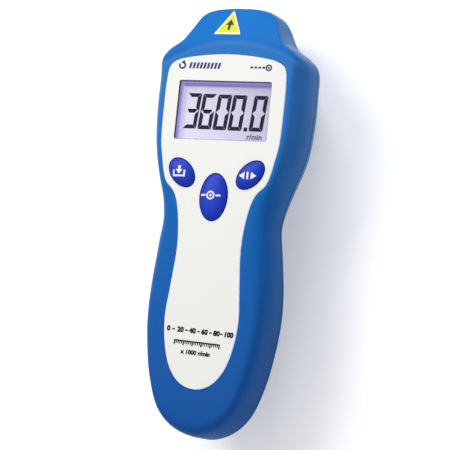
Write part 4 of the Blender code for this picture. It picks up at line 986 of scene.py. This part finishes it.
def aim_sign(bm):
    """A ring round a dot, between two dashes."""
    ring_and_dot(bm, AIM_RING, AIM_DOT)
    for side in (-1, 1):
        bar(bm, AIM_DASH, (side * AIM_DASH_X, 0.0))


def step_sign(bm):
    """Two arrowheads that point outwards, about an upright bar."""
    for side in (-1, 1):
        triangle(bm, *STEP_HEAD, (side * STEP_HEAD_X, 0.0), -side * math.pi / 2)
    bar(bm, STEP_BAR)


def legends():
    """White signs on the three buttons: store, aim and step."""
    white = printed("button legend", linear(240, 242, 250))
    for side, sign in (("left", store_sign), ("centre", aim_sign), ("right", step_sign)):
        bm = bmesh.new()
        sign(bm)
        bmesh.ops.scale(bm, vec=(LEGEND_SIZES[side], LEGEND_SIZES[side], 1.0), verts=bm.verts)
        move(bm, *on_display(*LEGEND_PLACES[side]))
        lay(bm, surface_of("button_" + side))
        print_piece(bm, "legend_" + side, white, side + "_key")


def turning_sign():
    """Above the display's left: a turning arrow and a row of leaning bars."""
    x, y = on_display(*LEFT_SIGN_PLACE)
    bm = bmesh.new()
    arc(bm, *TURN_RING, TURN_START, TURN_SWEEP, (x, y))
    triangle(bm, *TURN_HEAD, (x + TURN_HEAD_SHIFT, y + TURN_RING[0]), math.radians(90))
    for k in range(LEANING_BARS):
        made = bar(bm, LEANING_BAR, (x + (LEANING_START + k * LEANING_PITCH) * MM, y))
        for vert in made:
            vert.co.x += (vert.co.y - y) * LEANING_SLOPE
    return bm


def target_sign():
    """Above the display's right: dashes that end in a ring round a dot."""
    x, y = on_display(*RIGHT_SIGN_PLACE)
    bm = bmesh.new()
    ring_and_dot(bm, TARGET_RING, TARGET_DOT, (x + TARGET_SHIFT, y))
    for k in range(BEAM_DASHES):
        bar(bm, BEAM_DASH, (x + (BEAM_START + k * BEAM_PITCH) * MM, y))
    return bm


def scale_and_dashes():
    """The handle's tick scale, and above it the dashes between the numbers."""
    bm = bmesh.new()
    for k in range(SCALE_TICKS):
        x = (k / (SCALE_TICKS - 1) - 0.5) * SCALE_WIDTH
        size = SHORT_TICK if k % LONG_TICK_EVERY else LONG_TICK
        bar(bm, size, (x, -size[1] / 2))
    bar(bm, (SCALE_WIDTH + SCALE_LINE, SCALE_LINE))
    gaps = len(SCALE_NUMBERS) - 1
    for k in range(gaps):
        x = ((k + 0.5) / gaps - 0.5) * NUMBER_SPREAD
        if k in (0, gaps - 1):
            x += NUMBER_DASH_SHIFT
        bar(bm, NUMBER_DASH, (x, HANDLE_LINES[0] - HANDLE_LINES[1]))
    return bm


def on_handle(bm, across, line):
    """Moves a mark to its line of the handle's print, which runs slightly askew."""
    height = panel_high.z + PRINT_LIFT
    middle = Matrix.Translation((HANDLE_MIDDLE[0], display_centre.y + HANDLE_MIDDLE[1], height))
    shift = Matrix.Translation((across, HANDLE_LINES[line], 0.0))
    askew = Matrix.Rotation(HANDLE_TURN, 4, "Z")
    bmesh.ops.transform(bm, matrix=middle @ askew @ shift, verts=bm.verts)


def panel_print():
    """Small navy signs above the display and the black print on the handle."""
    navy = printed("navy print", linear(22, 52, 104))
    black = printed("black print", linear(14, 14, 18), specular=0.1)
    for name, bm in (("panel_sign_left", turning_sign()), ("panel_sign_right", target_sign())):
        move(bm, 0.0, 0.0, panel_high.z + PRINT_LIFT)
        print_piece(bm, name, navy)
    bm = scale_and_dashes()
    on_handle(bm, 0.0, 1)
    print_piece(bm, "handle_scale", black)
    for k, words in enumerate(SCALE_NUMBERS):
        x = (k / (len(SCALE_NUMBERS) - 1) - 0.5) * NUMBER_SPREAD
        number = solid_text(words, NUMBER_HEIGHT, NUMBER_BOLD)
        on_handle(number, x, 0)
        print_piece(number, f"handle_number_{k}", black)
    unit = solid_text(SCALE_UNIT, SCALE_UNIT_HEIGHT, SCALE_UNIT_BOLD)
    on_handle(unit, 0.0, 2)
    print_piece(unit, "handle_unit", black)


def aim_mark():
    """A plain yellow triangle on the nose, with a pale edge and an arrow to where the beam leaves."""
    tree = surface_of("front_shell")
    pale = bmesh.new()
    triangle(pale, *PALE_TRIANGLE, corner=PALE_CORNER, thick=PALE_THICKNESS)
    yellow = bmesh.new()
    triangle(yellow, *YELLOW_TRIANGLE, (0.0, YELLOW_SHIFT), corner=YELLOW_CORNER, thick=YELLOW_THICKNESS)
    arrow = bmesh.new()
    triangle(arrow, *ARROW_HEAD, thick=ARROW_THICKNESS)
    bar(arrow, ARROW_STEM, (0.0, -ARROW_STEM[1]), thick=ARROW_THICKNESS)
    for bm, name, ink in (
        (pale, "aim_mark_edge", printed("aim mark edge", linear(238, 238, 196), 0.4)),
        (yellow, "aim_mark", printed("aim mark yellow", linear(214, 214, 46), 0.4)),
        (arrow, "aim_arrow", printed("aim arrow", linear(58, 52, 22), 0.4)),
    ):
        move(bm, *on_display(*AIM_MARK_PLACE))
        lay(bm, tree)
        print_piece(bm, name, ink)


def camera():
    """The photograph's view: turned to the right of the face, tilted to the handle and rolled."""
    across = Vector((math.cos(CAMERA_TURN), 0.0, -math.sin(CAMERA_TURN)))
    lengthwise = Vector((
        math.sin(CAMERA_TILT) * math.sin(CAMERA_TURN),
        math.cos(CAMERA_TILT),
        math.sin(CAMERA_TILT) * math.cos(CAMERA_TURN),
    ))
    right = math.cos(CAMERA_ROLL) * across + math.sin(CAMERA_ROLL) * lengthwise
    up = -math.sin(CAMERA_ROLL) * across + math.cos(CAMERA_ROLL) * lengthwise
    back = right.cross(up)
    offset_x = (DISPLAY_PIXEL[0] - IMAGE_SIDE / 2) / PIXELS_PER_METRE
    offset_y = (IMAGE_SIDE / 2 - DISPLAY_PIXEL[1]) / PIXELS_PER_METRE
    target = display_centre - offset_x * right - offset_y * up
    data = bpy.data.cameras.new("camera")
    data.sensor_width = SENSOR_MILLIMETRES
    data.lens = data.sensor_width * CAMERA_DISTANCE * PIXELS_PER_METRE / IMAGE_SIDE
    data.clip_start = CAMERA_NEAR
    data.clip_end = CAMERA_FAR
    made = bpy.data.objects.new("camera", data)
    turn = Matrix((right, up, back)).transposed().to_4x4()
    made.matrix_world = Matrix.Translation(target + CAMERA_DISTANCE * back) @ turn
    bpy.context.scene.collection.objects.link(made)
    bpy.context.scene.camera = made


def area_light(name, place, aim, size, power):
    """A rectangular light at a place, turned to what it is aimed at."""
    data = bpy.data.lights.new(name, "AREA")
    data.shape = "RECTANGLE"
    data.size, data.size_y = size
    data.energy = power
    made = bpy.data.objects.new(name, data)
    made.location = place
    made.rotation_mode = "QUATERNION"
    made.rotation_quaternion = (Vector(aim) - Vector(place)).to_track_quat("-Z", "Y")
    bpy.context.scene.collection.objects.link(made)


def pale_floor():
    """A floor whose paint looks a little paler to the camera than it lights the object."""
    bm = bmesh.new()
    bmesh.ops.create_grid(bm, x_segments=1, y_segments=1, size=FLOOR_HALF)
    mesh = bpy.data.meshes.new("floor")
    bm.to_mesh(mesh)
    bm.free()
    floor = bpy.data.objects.new("floor", mesh)
    material, shading, shader = start_material("floor paint")
    shader.inputs["Base Color"].default_value = linear(240, 241, 243)
    shader.inputs["Roughness"].default_value = 0.9
    seen = shading.node("ShaderNodeLightPath").outputs["Is Camera Ray"]
    shading.feed(shader.inputs["Emission Color"], (1.0, 1.0, 1.0, 1.0))
    shading.feed(shader.inputs["Emission Strength"], shading.math("MULTIPLY", seen, FLOOR_GLOW))
    mesh.materials.append(material)
    bpy.context.scene.collection.objects.link(floor)


def studio():
    """A pale floor, an even world and soft lights."""
    pale_floor()
    world = bpy.data.worlds.new("studio")
    world.use_nodes = True
    background = world.node_tree.nodes["Background"]
    background.inputs["Color"].default_value = (1.0, 1.0, 1.0, 1.0)
    background.inputs["Strength"].default_value = WORLD_STRENGTH
    bpy.context.scene.world = world
    for light in LIGHTS:
        area_light(*light)
    bpy.context.scene.view_settings.view_transform = "Standard"


def solid_finishes():
    """A finish for each solid, by the material slot that the record gives it."""
    finishes = {
        "housing_blue": moulded("housing blue", housing_colour, 0.5, specular=0.08),
        "panel_white": panel_white(),
        # Painted shade: a dark navy rim where the buttons turn away, standing in for the shade in their
        # gaps
        "button_blue": moulded(
            "button blue", linear(22, 56, 190), 0.42,
            depth=0.08, specular=0.2, edge=(linear(10, 18, 90), 1.0),
        ),
        "gasket_dark": lit_gasket(),
        "light_guide": moulded("light guide", linear(226, 222, 240), 0.3, depth=0.02),
        "lamp_epoxy": moulded("lamp epoxy", linear(236, 230, 190), 0.3, depth=0.02),
        "zebra_rubber": moulded("zebra rubber", linear(40, 40, 42), 0.8),
        "ivory_plastic": moulded("ivory plastic", linear(222, 216, 200), 0.5),
        "board_green": moulded("solder mask", linear(22, 92, 46), 0.35, grain=1.2, mottling=0.1, coat=0.3),
        "switch_steel": moulded("stamped steel", linear(190, 192, 196), 0.32, depth=0.04, metallic=1.0),
        "black_plastic": moulded("black plastic", linear(26, 26, 28), 0.5),
        "chip_epoxy": moulded("chip epoxy", linear(28, 28, 30), 0.6, grain=0.2),
        "bright_steel": moulded("plated steel", linear(205, 206, 210), 0.22, depth=0.02, metallic=1.0),
        "capacitor_sleeve": moulded("capacitor sleeve", linear(30, 34, 66), 0.35, depth=0.02),
        "smoked_acrylic": moulded(
            "smoked acrylic", linear(30, 6, 12), 0.1, depth=0.0, mottling=0.02, coat=0.5, specular=0.4
        ),
        "lens_clear": moulded("lens glass", linear(228, 236, 240), 0.05, depth=0.0, mottling=0.01),
        "brass": moulded("turned brass", linear(214, 178, 96), 0.3, depth=0.05, metallic=1.0),
        "battery_jacket": moulded("battery jacket", linear(78, 80, 84), 0.35, depth=0.02, coat=0.4),
        "foam": moulded("grey foam", linear(122, 122, 126), 0.95, grain=0.8, depth=0.8, mottling=0.3),
        "ribbon_film": moulded("ribbon film", linear(192, 146, 72), 0.3, depth=0.02),
        "red_insulation": moulded("red lead", linear(186, 28, 26), 0.45, depth=0.03),
        "black_insulation": moulded("black lead", linear(24, 24, 26), 0.45, depth=0.03),
        "screw_steel": moulded("zinc plated steel", linear(196, 198, 200), 0.3, depth=0.05, metallic=1.0),
        "lcd_glass": display_face(),
        "display_clear": clear_window(),
    }
    for subpart in frame["record"]["subparts"]:
        mesh = nodes[subpart["node"]].data
        mesh.materials.clear()
        mesh.materials.append(finishes[subpart["material_slot"]])
    return finishes


def painted_crease_and_head_light(shading, x, y, z):
    """How much painted highlight pales the blue, along the crease at the nose's foot and round the panel's
    head.
    """
    across = shading.math("SUBTRACT", x, CREASE_MIDDLE[0])
    square = shading.math("MULTIPLY", across, across)
    arch = shading.math("MULTIPLY", square, 1 / (2 * CREASE_RADIUS))
    past = shading.math("SUBTRACT", shading.math("ADD", y, arch), CREASE_MIDDLE[1])
    crease = shading.ramp(shading.math("ABSOLUTE", past), CREASE_WIDTH, 0.0, 0.0, CREASE_HIGHLIGHT)
    below = shading.ramp(past, CREASE_WIDTH, 0.0)
    towards_head = shading.ramp(y, WAIST_Y, display_centre.y, 0.0, HEAD_HIGHLIGHT)
    head = shading.math("MULTIPLY", below, towards_head)
    either = shading.math("MAXIMUM", crease, head)
    outermost = shading.ramp(z, FACE_Z - HIGHLIGHT_START, FACE_Z - HIGHLIGHT_END)
    return shading.math("MULTIPLY", either, outermost)


def housing_colour(shading):
    """Blue with painted light: darker towards the handle's end and lighter towards the nose, with painted
    highlights and a pale painted sheen where it turns away.
    """
    x, y, z = shading.place_axes()
    # Painted light: the blue darkens towards the handle's end and brightens towards the nose, as the light
    # falls
    lengthwise = shading.ramp(y, END_Y, TIP_Y, smooth=False)
    blue = shading.mix(lengthwise, linear(22, 84, 162), linear(10, 110, 192))
    # Painted highlight: paler blue along the crease at the nose's foot and round the panel's head
    blue = shading.mix(painted_crease_and_head_light(shading, x, y, z), blue, linear(140, 180, 215))
    # Painted sheen: a pale blue-grey where the surface turns away
    sheen = turned_away(shading, shading.steps(y, SHEEN_STEPS))
    return shading.mix(sheen, blue, linear(150, 176, 196))


def panel_white():
    """The white panel; a painted highlight glows on its bevelled outer edge, where it catches the light."""
    made = moulded("panel white", linear(240, 240, 236), 0.55, depth=0.06, mottling=0.015, specular=0.3)
    shading = Shading(made.node_tree)
    shader = made.node_tree.nodes["Principled BSDF"]
    normal = shading.node("ShaderNodeSeparateXYZ")
    shading.feed(normal.inputs[0], shading.node("ShaderNodeTexCoord").outputs["Normal"])
    # Painted highlight: the bevel's emission lightens the panel's outer edge
    painted_highlight = shading.ramp(normal.outputs[2], *BEVEL_TILTS, 0.0, BEVEL_HIGHLIGHT)
    shading.feed(shader.inputs["Emission Color"], linear(222, 236, 250))
    shading.feed(shader.inputs["Emission Strength"], painted_highlight)
    return made


def shaded_hole_wall(name, colour):
    """The walls of the panel's holes, darkened as painted shade."""
    return moulded(name, colour, 0.6, depth=0.06, mottling=0.015, specular=0.2)


def lit_gasket():
    """The pale frame round the cell; its emission is painted light that stands in for the cell's light on
    its shaded walls.
    """
    made = moulded("gasket", linear(198, 190, 230), 0.7)
    shader = made.node_tree.nodes["Principled BSDF"]
    # Painted light: the gasket glows though it is no lamp, which lightens its walls in shade
    shader.inputs["Emission Color"].default_value = linear(150, 134, 196)
    shader.inputs["Emission Strength"].default_value = GASKET_PAINTED_LIGHT
    return made


def clear_window():
    """The clear plate; a dark line of painted shade lies on its top along the opening's four sides."""
    made, shading, shader = start_material("clear window")
    x, height, z = shading.place_axes()
    y = shading.math("SUBTRACT", height, display_centre.y)
    # Painted shade: the dark line stands in for the shade at the opening's edge
    line = 0.0
    for value, side, half, (inset, strength) in (
        (x, -1, OPENING_HALF[0], WINDOW_SHADE_LINE["left"]),
        (x, 1, OPENING_HALF[0], WINDOW_SHADE_LINE["right"]),
        (y, 1, OPENING_HALF[1], WINDOW_SHADE_LINE["top"]),
        (y, -1, OPENING_HALF[1], WINDOW_SHADE_LINE["bottom"]),
    ):
        inner = side * (half - inset - WINDOW_SHADE_BLUR)
        outer = side * (half - inset + WINDOW_SHADE_BLUR)
        line = shading.math("MAXIMUM", line, shading.ramp(value, inner, outer, 0.0, strength))
    on_top = shading.ramp(z, window_high.z - WINDOW_SHADE_START, window_high.z - WINDOW_SHADE_END)
    line = shading.math("MULTIPLY", line, on_top)
    colour = shading.mix(line, WINDOW_DARK, linear(92, 80, 130))
    shading.feed(shader.inputs["Base Color"], colour)
    film = shading.noise(shading.place(), WINDOW_FILM_SCALE, 2.0)
    shading.feed(shader.inputs["Roughness"], shading.ramp(film, *NOISE_SPREAD, *WINDOW_ROUGHNESS))
    shader.inputs["Specular IOR Level"].default_value = 0.3
    clear = shading.ramp(height, window_low.y, window_high.y, *WINDOW_ALPHA)
    shading.feed(shader.inputs["Alpha"], shading.math("MAXIMUM", line, clear))
    return made


def frame_shade(shading, x, y):
    """How much of the frame's shade falls on the cell, along its top and left sides."""
    ripple = shading.swing(shading.noise(shading.place(), CELL_RIPPLE_SCALE), CELL_RIPPLE)
    wide, high = OPENING_HALF
    start, end = CELL_BAND
    band = shading.ramp(shading.math("ADD", y, ripple), high - start, high - end)
    start, end, strength = CELL_HAZE
    haze = shading.ramp(y, high - start, high - end, 0.0, strength)
    start, end, strength = CELL_LEFT
    left = shading.ramp(shading.math("ADD", x, ripple), -wide + start, -wide + end)
    top = shading.math("MAXIMUM", band, haze)
    return shading.math("MAXIMUM", top, shading.math("MULTIPLY", left, strength))


def display_face():
    """The lit cell: lavender, with the frame's soft violet shade along its top and left sides."""
    made, shading, shader = start_material("display cell")
    axes = shading.place_axes()
    x = shading.math("SUBTRACT", axes[0], display_centre.x)
    y = shading.math("SUBTRACT", axes[1], display_centre.y)
    shade = frame_shade(shading, x, y)
    across = shading.ramp(x, -CELL_HALF, CELL_HALF, smooth=False)
    ground = shading.mix(across, linear(238, 233, 255), linear(206, 202, 228))
    colour = shading.mix(shade, ground, linear(152, 134, 206))
    darker = shading.mix(1.0, colour, CELL_DARKENING, "MULTIPLY")
    film = shading.noise(shading.place(), CELL_FILM_SCALE)
    shading.feed(shader.inputs["Base Color"], darker)
    shading.feed(shader.inputs["Emission Color"], colour)
    shader.inputs["Emission Strength"].default_value = CELL_GLOW
    shader.inputs["Specular IOR Level"].default_value = 0.2
    shading.feed(shader.inputs["Roughness"], shading.ramp(film, *NOISE_SPREAD, *CELL_ROUGHNESS))
    return made


def shells(blue):
    """The two shells and the battery door, rounded."""
    rounded_copy("front_shell", False, blue, "housing")
    rounded_copy("rear_shell", True, blue, "housing")
    rounded_copy("battery_door", True, blue, "door", GROOVE_REACH)


def panel_and_buttons(finishes):
    """The panel with painted shade on its hole walls, and the three buttons."""
    panel = smoothed_copy("face_panel", finishes["panel_white"], "housing")
    # Painted shade: the hole walls are darkened where shade falls on them
    display_hole_shade = shaded_hole_wall("display hole wall shade", linear(92, 82, 122))
    shade_hole_walls(panel, display_centre, DISPLAY_HOLE_REACH, display_hole_shade)
    button_hole_shade = shaded_hole_wall("button hole wall shade", linear(150, 146, 168))
    for side in ("left", "centre", "right"):
        smoothed_copy("button_" + side, finishes["button_blue"], side + "_key")
        button_low, button_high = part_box("button_" + side)
        shade_hole_walls(panel, (button_low + button_high) / 2, BUTTON_HOLE_REACH, button_hole_shade)


finishes = solid_finishes()
studio()
camera()
shells(finishes["housing_blue"])
panel_and_buttons(finishes)
digits()
legends()
panel_print()
aim_mark()
